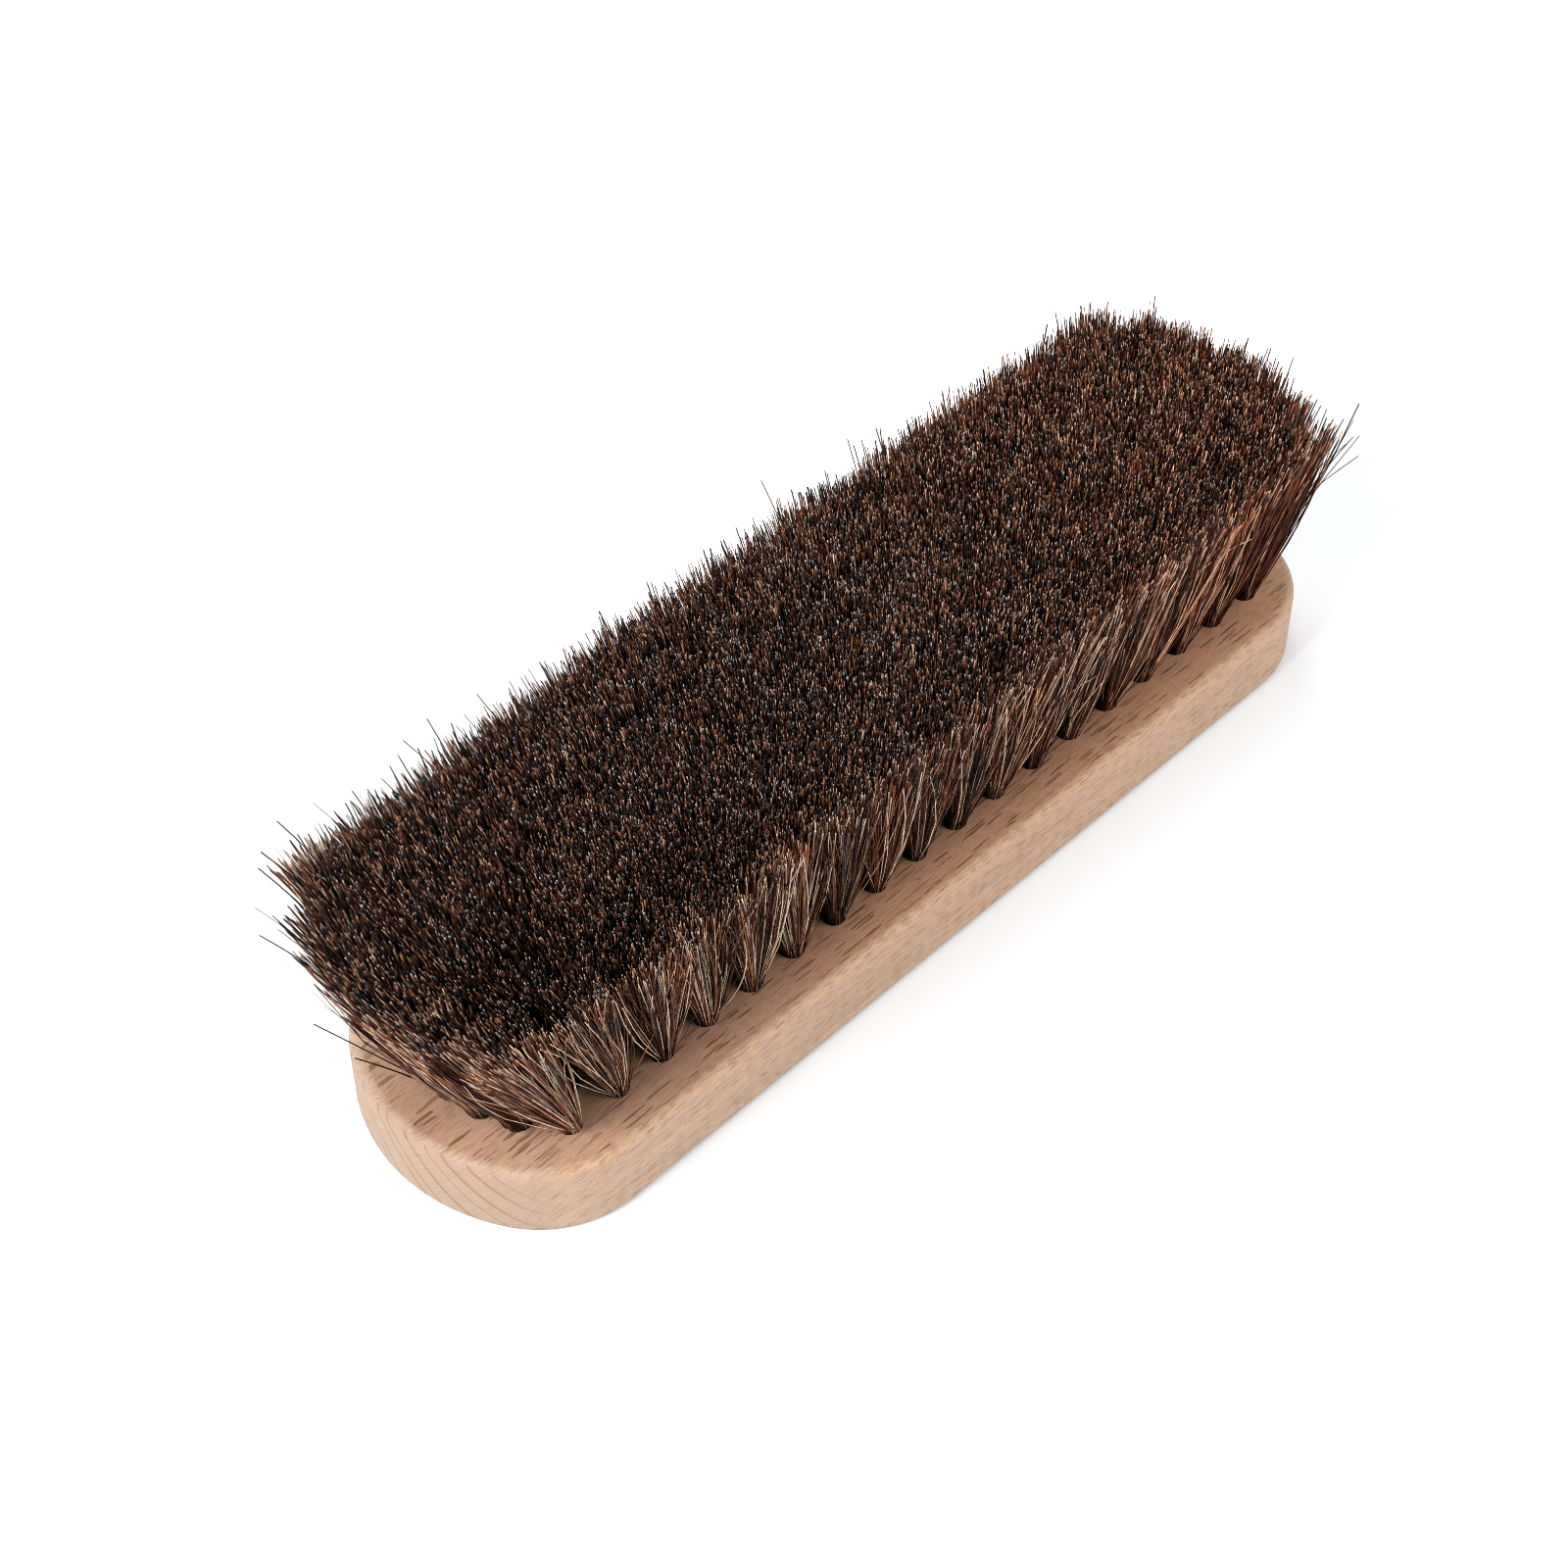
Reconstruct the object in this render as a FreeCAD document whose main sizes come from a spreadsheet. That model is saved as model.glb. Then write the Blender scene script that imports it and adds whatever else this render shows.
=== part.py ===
"""Shoe shine brush: a beech block drilled with fanned blind holes, each filled by a hair tuft.

Every tuft is folded round a short piece of flat wire, the anchor, which bites into the wood on both
sides of its hole. Lengths are in millimetres and +Z is up. The origin is the middle of the block's flat
back, which the brush rests on, and +X runs along the brush.
"""
import FreeCAD, Part
import math
import os
import Sketcher

# Driving dimensions, by the names that the sheet gives them.
SIZES = {
    # The block's outline, thickness and edges.
    "block_length": "170",
    "block_width": "46",
    "block_height": "12",
    "corner_radius": "16.8",
    "end_arc_excess": "6",
    "top_edge_radius": "1.6",
    "back_edge_radius": "1.2",
    # The holes, and how far their axes keep from the block's sides and ends.
    "hole_diameter": "3.3",
    "hole_depth": "8",
    "side_margin": "7.85",
    "end_margin": "8.6",
    "tuft_pitch": "8.2",
    # How far below the top face the hole axes meet, seen from the side and from the end.
    "fan_depth_along": "250",
    "fan_depth_across": "112",
    # The hair above the block, its straight neck, and the gaps round it.
    "hair_height": "27",
    "neck_height": "1.5",
    "tuft_clearance": "0.05",
    "head_gap": "0.3",
    # The flat wire of an anchor, its bite in the wood, and the fold of hair under it.
    "anchor_thickness": "0.35",
    "anchor_width": "1.6",
    "anchor_bite": "0.5",
    "fold_depth": "1.2",
    # How far a drill reaches past the face that it cuts.
    "drill_overrun": "2",
}

ROW_COUNT = 7
SECTION_NAMES = ("left", "middle", "right")
HALF_SHARE = 0.5
# In a lattice of even triangles the rows are this share of the pitch apart.
TRIANGLE_ROW_SHARE = math.sqrt(3) / 2

UP = FreeCAD.Vector(0, 0, 1)


def make_sheet(doc):
    """Put every driving dimension into a spreadsheet cell that carries its name."""
    sheet = doc.addObject("Spreadsheet::Sheet", "Sizes")
    for line, (name, value) in enumerate(SIZES.items(), start=1):
        sheet.set(f"A{line}", name)
        sheet.set(f"B{line}", value)
        sheet.setAlias(f"B{line}", name)
    doc.recompute()
    return sheet


def bind(thing, **expressions):
    """Tie properties of a document object to expressions on the sheet."""
    for prop, expression in expressions.items():
        thing.setExpression(prop, expression)


class Layout:
    """Where the holes and the tuft heads are, worked out from the sheet."""

    def __init__(self, sheet):
        self.size = {name: float(sheet.get(name)) for name in SIZES}
        size = self.size
        self.half_width = size["block_width"] / 2
        self.end_radius = self.half_width + size["end_arc_excess"]
        self.end_centre = size["block_length"] / 2 - self.end_radius
        self.row_spacing = (size["block_width"] - 2 * size["side_margin"]) / (ROW_COUNT - 1)
        self.along_spread = 1 + size["hair_height"] / size["fan_depth_along"]
        self.across_spread = 1 + size["hair_height"] / size["fan_depth_across"]
        self.rows = [self.row_mouths(row) for row in range(ROW_COUNT)]

    def row_mouths(self, row):
        """Hole mouths of one row, spread evenly between end holes that follow the block's end arcs.

        A row beside the middle one has its holes half a pitch over, so neighbouring rows are staggered.
        """
        size = self.size
        step = row - (ROW_COUNT - 1) // 2
        across = step * self.row_spacing
        reach = self.end_centre + math.sqrt((self.end_radius - size["end_margin"]) ** 2 - across**2)
        pitches = reach / size["tuft_pitch"]
        if step % 2:
            gaps = 2 * round(pitches - HALF_SHARE) + 1
        else:
            gaps = 2 * round(pitches)
        places = [reach * (2 * index / gaps - 1) for index in range(gaps + 1)]
        return [FreeCAD.Vector(along, across, size["block_height"]) for along in places]

    def axis(self, mouth):
        """Unit direction of a hole, pointing out of its mouth."""
        lean_along = mouth.x / self.size["fan_depth_along"]
        lean_across = mouth.y / self.size["fan_depth_across"]
        return FreeCAD.Vector(lean_along, lean_across, 1).normalize()

    def on_axis(self, mouth, height):
        """Placement on a hole's axis, turned along it, at a distance from the hole's floor."""
        axis = self.axis(mouth)
        base = mouth + axis * (height - self.size["hole_depth"])
        return FreeCAD.Placement(base, FreeCAD.Rotation(UP, axis))

    def head(self, mouth):
        """Middle of a tuft's trimmed head."""
        lift = FreeCAD.Vector(0, 0, self.size["hair_height"])
        return FreeCAD.Vector(mouth.x * self.along_spread, mouth.y * self.across_spread, mouth.z) + lift

    def head_radii(self, mouth):
        """Half length and half width of a head that swells until it nearly meets its nearest neighbour.

        Stretched across the brush, the staggered heads lie on a lattice of even triangles, where each is
        a circle.
        """
        pitch = self.size["tuft_pitch"] * self.along_spread
        stretch = TRIANGLE_ROW_SHARE * pitch / (self.row_spacing * self.across_spread)
        here = self.head(mouth)
        others = [self.head(other) for row in self.rows for other in row if other != mouth]
        nearest = min(math.hypot(there.x - here.x, stretch * (there.y - here.y)) for there in others)
        half_length = (nearest - self.size["head_gap"]) / 2
        return half_length, half_length / stretch


def outline_sketch(body, layout):
    """Sketch of the block's outline: straight sides, a wide arc at each end and rounded corners."""
    size = layout.size
    sketch = body.newObject("Sketcher::SketchObject", "Outline")
    plane = next(item for item in body.Origin.OriginFeatures if item.Role == "XY_Plane")
    sketch.AttachmentSupport = [(plane, "")]
    sketch.MapMode = "FlatFace"

    corner = size["corner_radius"]
    corner_y = layout.half_width - corner
    corner_x = layout.end_centre + math.sqrt((layout.end_radius - corner) ** 2 - corner_y**2)
    turn = math.atan2(corner_y, corner_x - layout.end_centre)
    quarter, half = math.pi / 2, math.pi

    def line(start, end):
        sketch.addGeometry(Part.LineSegment(FreeCAD.Vector(*start, 0), FreeCAD.Vector(*end, 0)))

    def arc(x, y, radius, first, last):
        sketch.addGeometry(Part.ArcOfCircle(Part.Circle(FreeCAD.Vector(x, y, 0), UP, radius), first, last))

    line((-corner_x, -layout.half_width), (corner_x, -layout.half_width))
    arc(corner_x, -corner_y, corner, -quarter, -turn)
    arc(layout.end_centre, 0, layout.end_radius, -turn, turn)
    arc(corner_x, corner_y, corner, turn, quarter)
    line((corner_x, layout.half_width), (-corner_x, layout.half_width))
    arc(-corner_x, corner_y, corner, quarter, half - turn)
    arc(-layout.end_centre, 0, layout.end_radius, half - turn, half + turn)
    arc(-corner_x, -corner_y, corner, half + turn, half + quarter)

    near_side, near_right, right_end, far_right, far_side, far_left, left_end, near_left = range(8)
    start, end, centre = 1, 2, 3
    across_axis, origin = -1, 1
    loop = list(range(8))
    for this, following in zip(loop, loop[1:] + loop[:1]):
        sketch.addConstraint(Sketcher.Constraint("Tangent", this, end, following, start))
    for other in (far_right, far_left, near_left):
        sketch.addConstraint(Sketcher.Constraint("Equal", near_right, other))
    sketch.addConstraint(Sketcher.Constraint("Equal", right_end, left_end))
    for side in (near_side, far_side):
        sketch.addConstraint(Sketcher.Constraint("Horizontal", side))
    sketch.addConstraint(Sketcher.Constraint("PointOnObject", right_end, centre, across_axis))
    sketch.addConstraint(
        Sketcher.Constraint("Symmetric", left_end, centre, right_end, centre, across_axis, origin)
    )

    def dimension(name, expression, *constraint):
        index = sketch.addConstraint(Sketcher.Constraint(*constraint))
        sketch.renameConstraint(index, name)
        sketch.setExpression(f"Constraints.{name}", expression)

    dimension("near_half_width", "Sizes.block_width / 2",
              "DistanceY", near_side, start, across_axis, origin, layout.half_width)
    dimension("far_half_width", "Sizes.block_width / 2",
              "DistanceY", across_axis, origin, far_side, start, layout.half_width)
    dimension("corner_radius", "Sizes.corner_radius", "Radius", near_right, corner)
    dimension("end_radius", "Sizes.block_width / 2 + Sizes.end_arc_excess",
              "Radius", right_end, layout.end_radius)
    dimension("end_centres", "Sizes.block_length - Sizes.block_width - 2 * Sizes.end_arc_excess",
              "DistanceX", left_end, centre, right_end, centre, 2 * layout.end_centre)
    return sketch


def edges_at(shape, height):
    """Names of the edges of a shape that lie flat at a height."""
    near = Part.Precision.confusion()
    return [
        f"Edge{index}"
        for index, edge in enumerate(shape.Edges, start=1)
        if all(abs(level - height) < near for level in (edge.BoundBox.ZMin, edge.BoundBox.ZMax))
    ]


def make_blank(doc, layout):
    """Undrilled block: the padded outline with its top and back edges rounded."""
    body = doc.addObject("PartDesign::Body", "Blank")
    pad = body.newObject("PartDesign::Pad", "Thickness")
    pad.Profile = outline_sketch(body, layout)
    bind(pad, Length="Sizes.block_height")
    doc.recompute()
    top = body.newObject("PartDesign::Fillet", "TopEdge")
    top.Base = (pad, edges_at(pad.Shape, layout.size["block_height"]))
    bind(top, Radius="Sizes.top_edge_radius")
    doc.recompute()
    back = body.newObject("PartDesign::Fillet", "BackEdge")
    back.Base = (top, edges_at(top.Shape, 0))
    bind(back, Radius="Sizes.back_edge_radius")
    doc.recompute()
    return body


def make_drill(doc, layout, mouth, tag):
    """Drill for one hole, from the hole's floor out past its mouth."""
    drill = doc.addObject("Part::Cylinder", f"Drill_{tag}")
    bind(drill, Radius="Sizes.hole_diameter / 2", Height="Sizes.hole_depth + Sizes.drill_overrun")
    drill.Placement = layout.on_axis(mouth, 0)
    return drill


def make_anchor(doc, layout, mouth, tag):
    """Flat wire across one hole, on edge above the fold of hair, with both ends in the wood."""
    size = layout.size
    anchor = doc.addObject("Part::Box", f"Anchor_{tag}")
    bind(
        anchor,
        Length="Sizes.anchor_thickness",
        Width="Sizes.hole_diameter + 2 * Sizes.anchor_bite",
        Height="Sizes.anchor_width",
    )
    reach = size["hole_diameter"] / 2 + size["anchor_bite"]
    corner = FreeCAD.Vector(-size["anchor_thickness"] / 2, -reach, 0)
    seat = layout.on_axis(mouth, size["fold_depth"])
    anchor.Placement = seat * FreeCAD.Placement(corner, FreeCAD.Rotation())
    return anchor


def tuft_shape(layout, mouth, anchor):
    """Solid of one tuft: a round stem in its hole and a flared head trimmed level, slit by its anchor."""
    size = layout.size
    stem_radius = size["hole_diameter"] / 2 - size["tuft_clearance"]
    rings = []
    for height in (size["tuft_clearance"], size["hole_depth"] + size["neck_height"]):
        ring = Part.Wire(Part.makeCircle(stem_radius))
        ring.Placement = layout.on_axis(mouth, height)
        rings.append(ring)
    oval = FreeCAD.Matrix()
    oval.scale(FreeCAD.Vector(*layout.head_radii(mouth), 1))
    oval.move(layout.head(mouth))
    rings.append(Part.Wire(Part.makeCircle(1).transformGeometry(oval)))
    return Part.makeLoft(rings, True, True).cut(anchor.Shape)


def sections(items):
    """Split a row into its left, middle and right sections."""
    count = len(SECTION_NAMES)
    bounds = [round(len(items) * index / count) for index in range(count + 1)]
    return [(name, items[bounds[i]:bounds[i + 1]]) for i, name in enumerate(SECTION_NAMES)]


def make_block(doc, layout, cutters):
    """Beech block: the blank less the drills and the bites of the anchors."""
    tools = doc.addObject("Part::Compound", "Cutters")
    tools.Links = cutters
    block = doc.addObject("Part::Cut", "Block")
    block.Base = make_blank(doc, layout)
    block.Tool = tools
    block.Label = "block"
    return block


def make_rows(doc, layout):
    """Anchors and tufts of every row, with the drills that their holes need."""
    nodes, drills, anchors = [], [], []
    for number, mouths in enumerate(layout.rows, start=1):
        tags = [f"{number}_{place:02d}" for place in range(1, len(mouths) + 1)]
        drills += [make_drill(doc, layout, mouth, tag) for mouth, tag in zip(mouths, tags)]
        row_anchors = [make_anchor(doc, layout, mouth, tag) for mouth, tag in zip(mouths, tags)]
        anchors += row_anchors
        doc.recompute()
        group = doc.addObject("Part::Compound", f"AnchorRow_{number}")
        group.Links = row_anchors
        group.Label = f"anchors_row_{number}"
        nodes.append(group)
        for name, pairs in sections(list(zip(mouths, row_anchors))):
            tufts = doc.addObject("Part::Feature", f"TuftRow_{number}_{name}")
            tufts.Shape = Part.makeCompound([tuft_shape(layout, *pair) for pair in pairs])
            tufts.Placement = FreeCAD.Placement()
            tufts.Label = f"tufts_row_{number}_{name}"
            nodes.append(tufts)
    return nodes, drills + anchors


def check(doc, nodes):
    """Stop unless every object of the document is up to date and every sub-part is a valid solid."""
    for thing in doc.Objects:
        if {"Invalid", "Error"} & set(thing.State):
            raise RuntimeError(f"{thing.Label} failed: {thing.State}")
    for node in nodes:
        if node.Shape.isNull() or not node.Shape.isValid() or not node.Shape.Solids:
            raise RuntimeError(f"{node.Label} has no valid shape")


def main():
    """Build the brush and write one file for each sub-part."""
    doc = FreeCAD.newDocument("ShoeShineBrush")
    layout = Layout(make_sheet(doc))
    nodes, cutters = make_rows(doc, layout)
    nodes.insert(0, make_block(doc, layout, cutters))
    doc.recompute()
    check(doc, nodes)
    os.makedirs("parts", exist_ok=True)
    for node in nodes:
        node.Shape.exportStep(f"parts/{node.Label}.step")
        print(f"{node.Label}: {len(node.Shape.Solids)} solids, {node.Shape.Volume:.1f} mm3")


main()
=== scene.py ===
"""A shoe shine brush lying on its back: a beech block whose fanned holes hold tufts of horsehair.

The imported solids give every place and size. The block and the wire anchors keep their solids and get
their finishes here, and each row of tufts is replaced by its single hairs. Lengths are in metres, and
MM turns millimetres into them.
"""

import logging
import math
from dataclasses import dataclass
from enum import Enum
from typing import Any, Mapping, Sequence

import bpy
import numpy as np
from mathutils import Matrix, Vector


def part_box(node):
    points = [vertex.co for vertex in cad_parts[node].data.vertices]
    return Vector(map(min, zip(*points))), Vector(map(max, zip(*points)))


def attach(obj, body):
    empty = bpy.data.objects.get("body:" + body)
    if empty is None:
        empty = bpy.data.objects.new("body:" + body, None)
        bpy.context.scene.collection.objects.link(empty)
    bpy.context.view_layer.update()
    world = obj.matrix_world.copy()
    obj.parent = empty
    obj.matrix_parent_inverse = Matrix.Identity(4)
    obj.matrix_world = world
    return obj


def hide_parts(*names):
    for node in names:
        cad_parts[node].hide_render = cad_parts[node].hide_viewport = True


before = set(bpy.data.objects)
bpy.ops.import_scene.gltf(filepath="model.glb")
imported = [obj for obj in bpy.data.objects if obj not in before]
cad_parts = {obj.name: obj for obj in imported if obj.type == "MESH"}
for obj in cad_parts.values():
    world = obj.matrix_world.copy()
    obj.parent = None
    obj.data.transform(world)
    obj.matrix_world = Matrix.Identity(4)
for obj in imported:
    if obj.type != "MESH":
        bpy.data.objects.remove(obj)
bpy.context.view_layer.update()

MM = 0.001
BODY = "root"
BAKE_MAP = "OFBake"
GOLDEN_ANGLE = math.pi * (3.0 - math.sqrt(5.0))

Colour = tuple[float, float, float]
Socket = bpy.types.NodeSocket
WHITE: Colour = (1.0, 1.0, 1.0)
log = logging.getLogger("brush")


class Section(Enum):
    """The three stretches in which the solids of one row of tufts are kept."""

    LEFT = "left"
    MIDDLE = "middle"
    RIGHT = "right"


def opaque(colour: Colour) -> tuple[float, float, float, float]:
    """Returns the colour with full alpha."""
    return (*colour, 1.0)


class Graph:
    """A node tree that is filled node by node."""

    def __init__(self, tree: bpy.types.NodeTree) -> None:
        """Starts on an existing tree."""
        self.tree = tree

    def feed(self, socket: Socket, value: Any) -> None:
        """Links a socket to another one, or sets its constant.

        Args:
            socket: The input to be fed.
            value: An output socket or a constant.
        """
        if isinstance(value, bpy.types.NodeSocket):
            self.tree.links.new(value, socket)
        else:
            socket.default_value = value

    def add(self, kind: str, inputs: Mapping[Any, Any] | None = None, **settings: Any) -> bpy.types.Node:
        """Adds one node.

        Args:
            kind: The node's Blender type.
            inputs: Constants or sockets for its inputs, by name or index.
            **settings: Properties of the node itself.

        Returns:
            The new node.
        """
        node = self.tree.nodes.new(kind)
        for name, value in settings.items():
            setattr(node, name, value)
        for key, value in (inputs or {}).items():
            self.feed(node.inputs[key], value)
        return node

    def math(self, operation: str, *values: Any, clamp: bool = False) -> Socket:
        """Returns the result of one arithmetic step on sockets or numbers."""
        inputs = dict(enumerate(values))
        return self.add("ShaderNodeMath", inputs, operation=operation, use_clamp=clamp).outputs[0]

    def line(self, value: Any, slope: Any, start: Any) -> Socket:
        """Returns the start plus the slope times the value."""
        return self.math("MULTIPLY_ADD", value, slope, start)

    def product(self, first: Any, *others: Any) -> Socket:
        """Multiplies sockets or numbers from left to right.

        Args:
            first: The first factor.
            *others: The other factors.

        Returns:
            The product.
        """
        for other in others:
            first = self.math("MULTIPLY", first, other)
        return first

    def parts(self, vector: Socket) -> bpy.types.NodeOutputs:
        """Returns the three parts of a vector."""
        return self.add("ShaderNodeSeparateXYZ", {0: vector}).outputs

    def carried(self, name: str) -> Socket:
        """Returns a number that the mesh carries on its points."""
        return self.add("ShaderNodeAttribute", attribute_name=name).outputs["Fac"]

    def step(self, value: Any, low: float, high: float) -> Socket:
        """Returns a smooth step that is 0 at low and 1 at high, which may be the smaller one."""
        inputs = {"Value": value, "From Min": low, "From Max": high}
        return self.add("ShaderNodeMapRange", inputs, interpolation_type="SMOOTHSTEP").outputs[0]

    def ramp(self, value: Any, stops: Sequence[tuple[float, Colour]]) -> Socket:
        """Runs a colour through stops.

        Args:
            value: Where on the ramp the colour is read, from 0 to 1.
            stops: The places of the stops and their colours.

        Returns:
            The colour.
        """
        node = self.add("ShaderNodeValToRGB", {0: value})
        marks = node.color_ramp.elements
        while len(marks) < len(stops):
            marks.new(1.0)
        for mark, (place, colour) in zip(marks, stops):
            mark.position = place
            mark.color = opaque(colour)
        return node.outputs[0]

    def mix(self, share: Any, base: Any, top: Any, blend: str = "MIX") -> Socket:
        """Returns two colours mixed by a share of the top one."""
        inputs = {0: share, 6: base, 7: top}
        return self.add("ShaderNodeMix", inputs, data_type="RGBA", blend_type=blend).outputs[2]

    def dimmed(self, colour: Socket, light: Socket) -> Socket:
        """Returns a colour times a light that is the same for red, green and blue."""
        grey = self.add("ShaderNodeCombineColor", {0: light, 1: light, 2: light}).outputs[0]
        return self.mix(1.0, colour, grey, "MULTIPLY")

    def noise(self, place: Socket, scale: float, detail: float = 2.0) -> Socket:
        """Returns soft noise of about 0 to 1 at a place."""
        inputs = {"Vector": place, "Scale": scale, "Detail": detail}
        return self.add("ShaderNodeTexNoise", inputs).outputs[0]

    def stretched(self, place: Socket, sizes: Sequence[float]) -> Socket:
        """Returns a place divided by one size along each axis."""
        inputs = {0: place, 1: tuple(sizes)}
        return self.add("ShaderNodeVectorMath", inputs, operation="DIVIDE").outputs[0]


class Streaks:
    """Shader node group of soft streaks along one direction, shared by wood, hair and wire."""

    NAME = "streaks"
    FINE_SCALE = 3.0
    FINE_SHARE = 0.4

    @classmethod
    def tree(cls) -> bpy.types.NodeTree:
        """Builds the group once and returns it.

        The place is divided by the streak's own sizes and read in two octaves of noise, a broad one and
        a fine one of a third of its size. Contrast spreads the mean of the two about one half.

        Returns:
            The node group, with the inputs Place, Sizes and Contrast and the output Streak.
        """
        found = bpy.data.node_groups.get(cls.NAME)
        if found:
            return found
        tree = bpy.data.node_groups.new(cls.NAME, "ShaderNodeTree")
        for name, kind in (("Place", "Vector"), ("Sizes", "Vector"), ("Contrast", "Float")):
            tree.interface.new_socket(name, in_out="INPUT", socket_type=f"NodeSocket{kind}")
        tree.interface.new_socket("Streak", in_out="OUTPUT", socket_type="NodeSocketFloat")
        graph = Graph(tree)
        source = graph.add("NodeGroupInput")
        inputs = {0: source.outputs["Place"], 1: source.outputs["Sizes"]}
        place = graph.add("ShaderNodeVectorMath", inputs, operation="DIVIDE").outputs[0]
        broad = graph.noise(place, 1.0, 2.0)
        fine = graph.noise(place, cls.FINE_SCALE, 1.0)
        mean = graph.line(fine, cls.FINE_SHARE, graph.product(broad, 1.0 - cls.FINE_SHARE))
        spread = graph.product(graph.math("SUBTRACT", mean, 0.5), source.outputs["Contrast"])
        streak = graph.math("ADD", spread, 0.5, clamp=True)
        graph.add("NodeGroupOutput", {"Streak": streak})
        return tree

    @classmethod
    def read(cls, graph: Graph, place: Socket, sizes: Sequence[float], contrast: float) -> Socket:
        """Places the group in a material.

        Args:
            graph: The material's tree.
            place: Where the pattern is read.
            sizes: Streak sizes along the three axes, in the unit of place.
            contrast: How far the streaks spread about one half.

        Returns:
            The streaks, from 0 to 1.
        """
        inputs = {"Place": place, "Sizes": tuple(sizes), "Contrast": contrast}
        return graph.add("ShaderNodeGroup", inputs, node_tree=cls.tree()).outputs["Streak"]


def new_material(name: str) -> tuple[bpy.types.Material, Graph, bpy.types.Node]:
    """Makes an empty material.

    Args:
        name: The material's name.

    Returns:
        The material, its graph and the Principled shader that is wired to its output.
    """
    material = bpy.data.materials.new(name)
    material.use_nodes = True
    material.node_tree.nodes.clear()
    graph = Graph(material.node_tree)
    shader = graph.add("ShaderNodeBsdfPrincipled")
    graph.add("ShaderNodeOutputMaterial", {"Surface": shader.outputs[0]})
    return material, graph, shader


def place_in_mm(graph: Graph) -> Socket:
    """Returns the Object coordinates in millimetres."""
    inputs = {"Vector": graph.add("ShaderNodeTexCoord").outputs["Object"], "Scale": (1.0 / MM,) * 3}
    return graph.add("ShaderNodeMapping", inputs).outputs[0]


@dataclass(frozen=True)
class SideMasks:
    """Masks of the block's sides in a material, each from 0 to 1."""

    end: Socket
    square_end: Socket
    face: Socket
    edge: Socket
    under: Socket


@dataclass(frozen=True)
class BlockSides:
    """Tells the block's sides apart by the surface normal.

    Every pair gives the values of one part of the normal at which a mask is 0 and at which it is 1.
    """

    end: tuple[float, float] = (0.45, 0.9)
    square_end: tuple[float, float] = (0.6, 0.95)
    face: tuple[float, float] = (0.985, 0.998)
    edge_rise: tuple[float, float] = (0.2, 0.5)
    edge_turn: tuple[float, float] = (0.75, 0.3)
    under: tuple[float, float] = (-0.2, -0.6)

    def masks(self, graph: Graph) -> SideMasks:
        """Places the masks in a material.

        A mask is a smooth step in a part of the normal: along the block for the ends, and upwards for the
        face and the underside. The rounded edge lies between the sides and the face, and its mask fades
        where the level part of the normal turns along the block.

        Args:
            graph: The material's tree.

        Returns:
            The masks.
        """
        normal = graph.add("ShaderNodeNewGeometry").outputs["Normal"]
        parts = graph.parts(normal)
        upward = parts[2]
        endward = graph.math("ABSOLUTE", parts[0])
        squares = [graph.product(parts[axis], parts[axis]) for axis in (0, 1)]
        level = graph.math("SQRT", graph.math("ADD", *squares))
        rounded = graph.product(graph.step(upward, *self.edge_rise), graph.step(upward, *self.face[::-1]))
        sideways = graph.step(graph.math("DIVIDE", endward, level), *self.edge_turn)
        return SideMasks(
            end=graph.step(endward, *self.end),
            square_end=graph.step(endward, *self.square_end),
            face=graph.step(upward, *self.face),
            edge=graph.product(rounded, sideways),
            under=graph.step(upward, *self.under),
        )


@dataclass(frozen=True)
class WoodMarks:
    """Masks of the marks in the wood, each from 0 to 1."""

    rays: Socket
    dashes: Socket
    rings: Socket
    fibres: Socket


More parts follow.
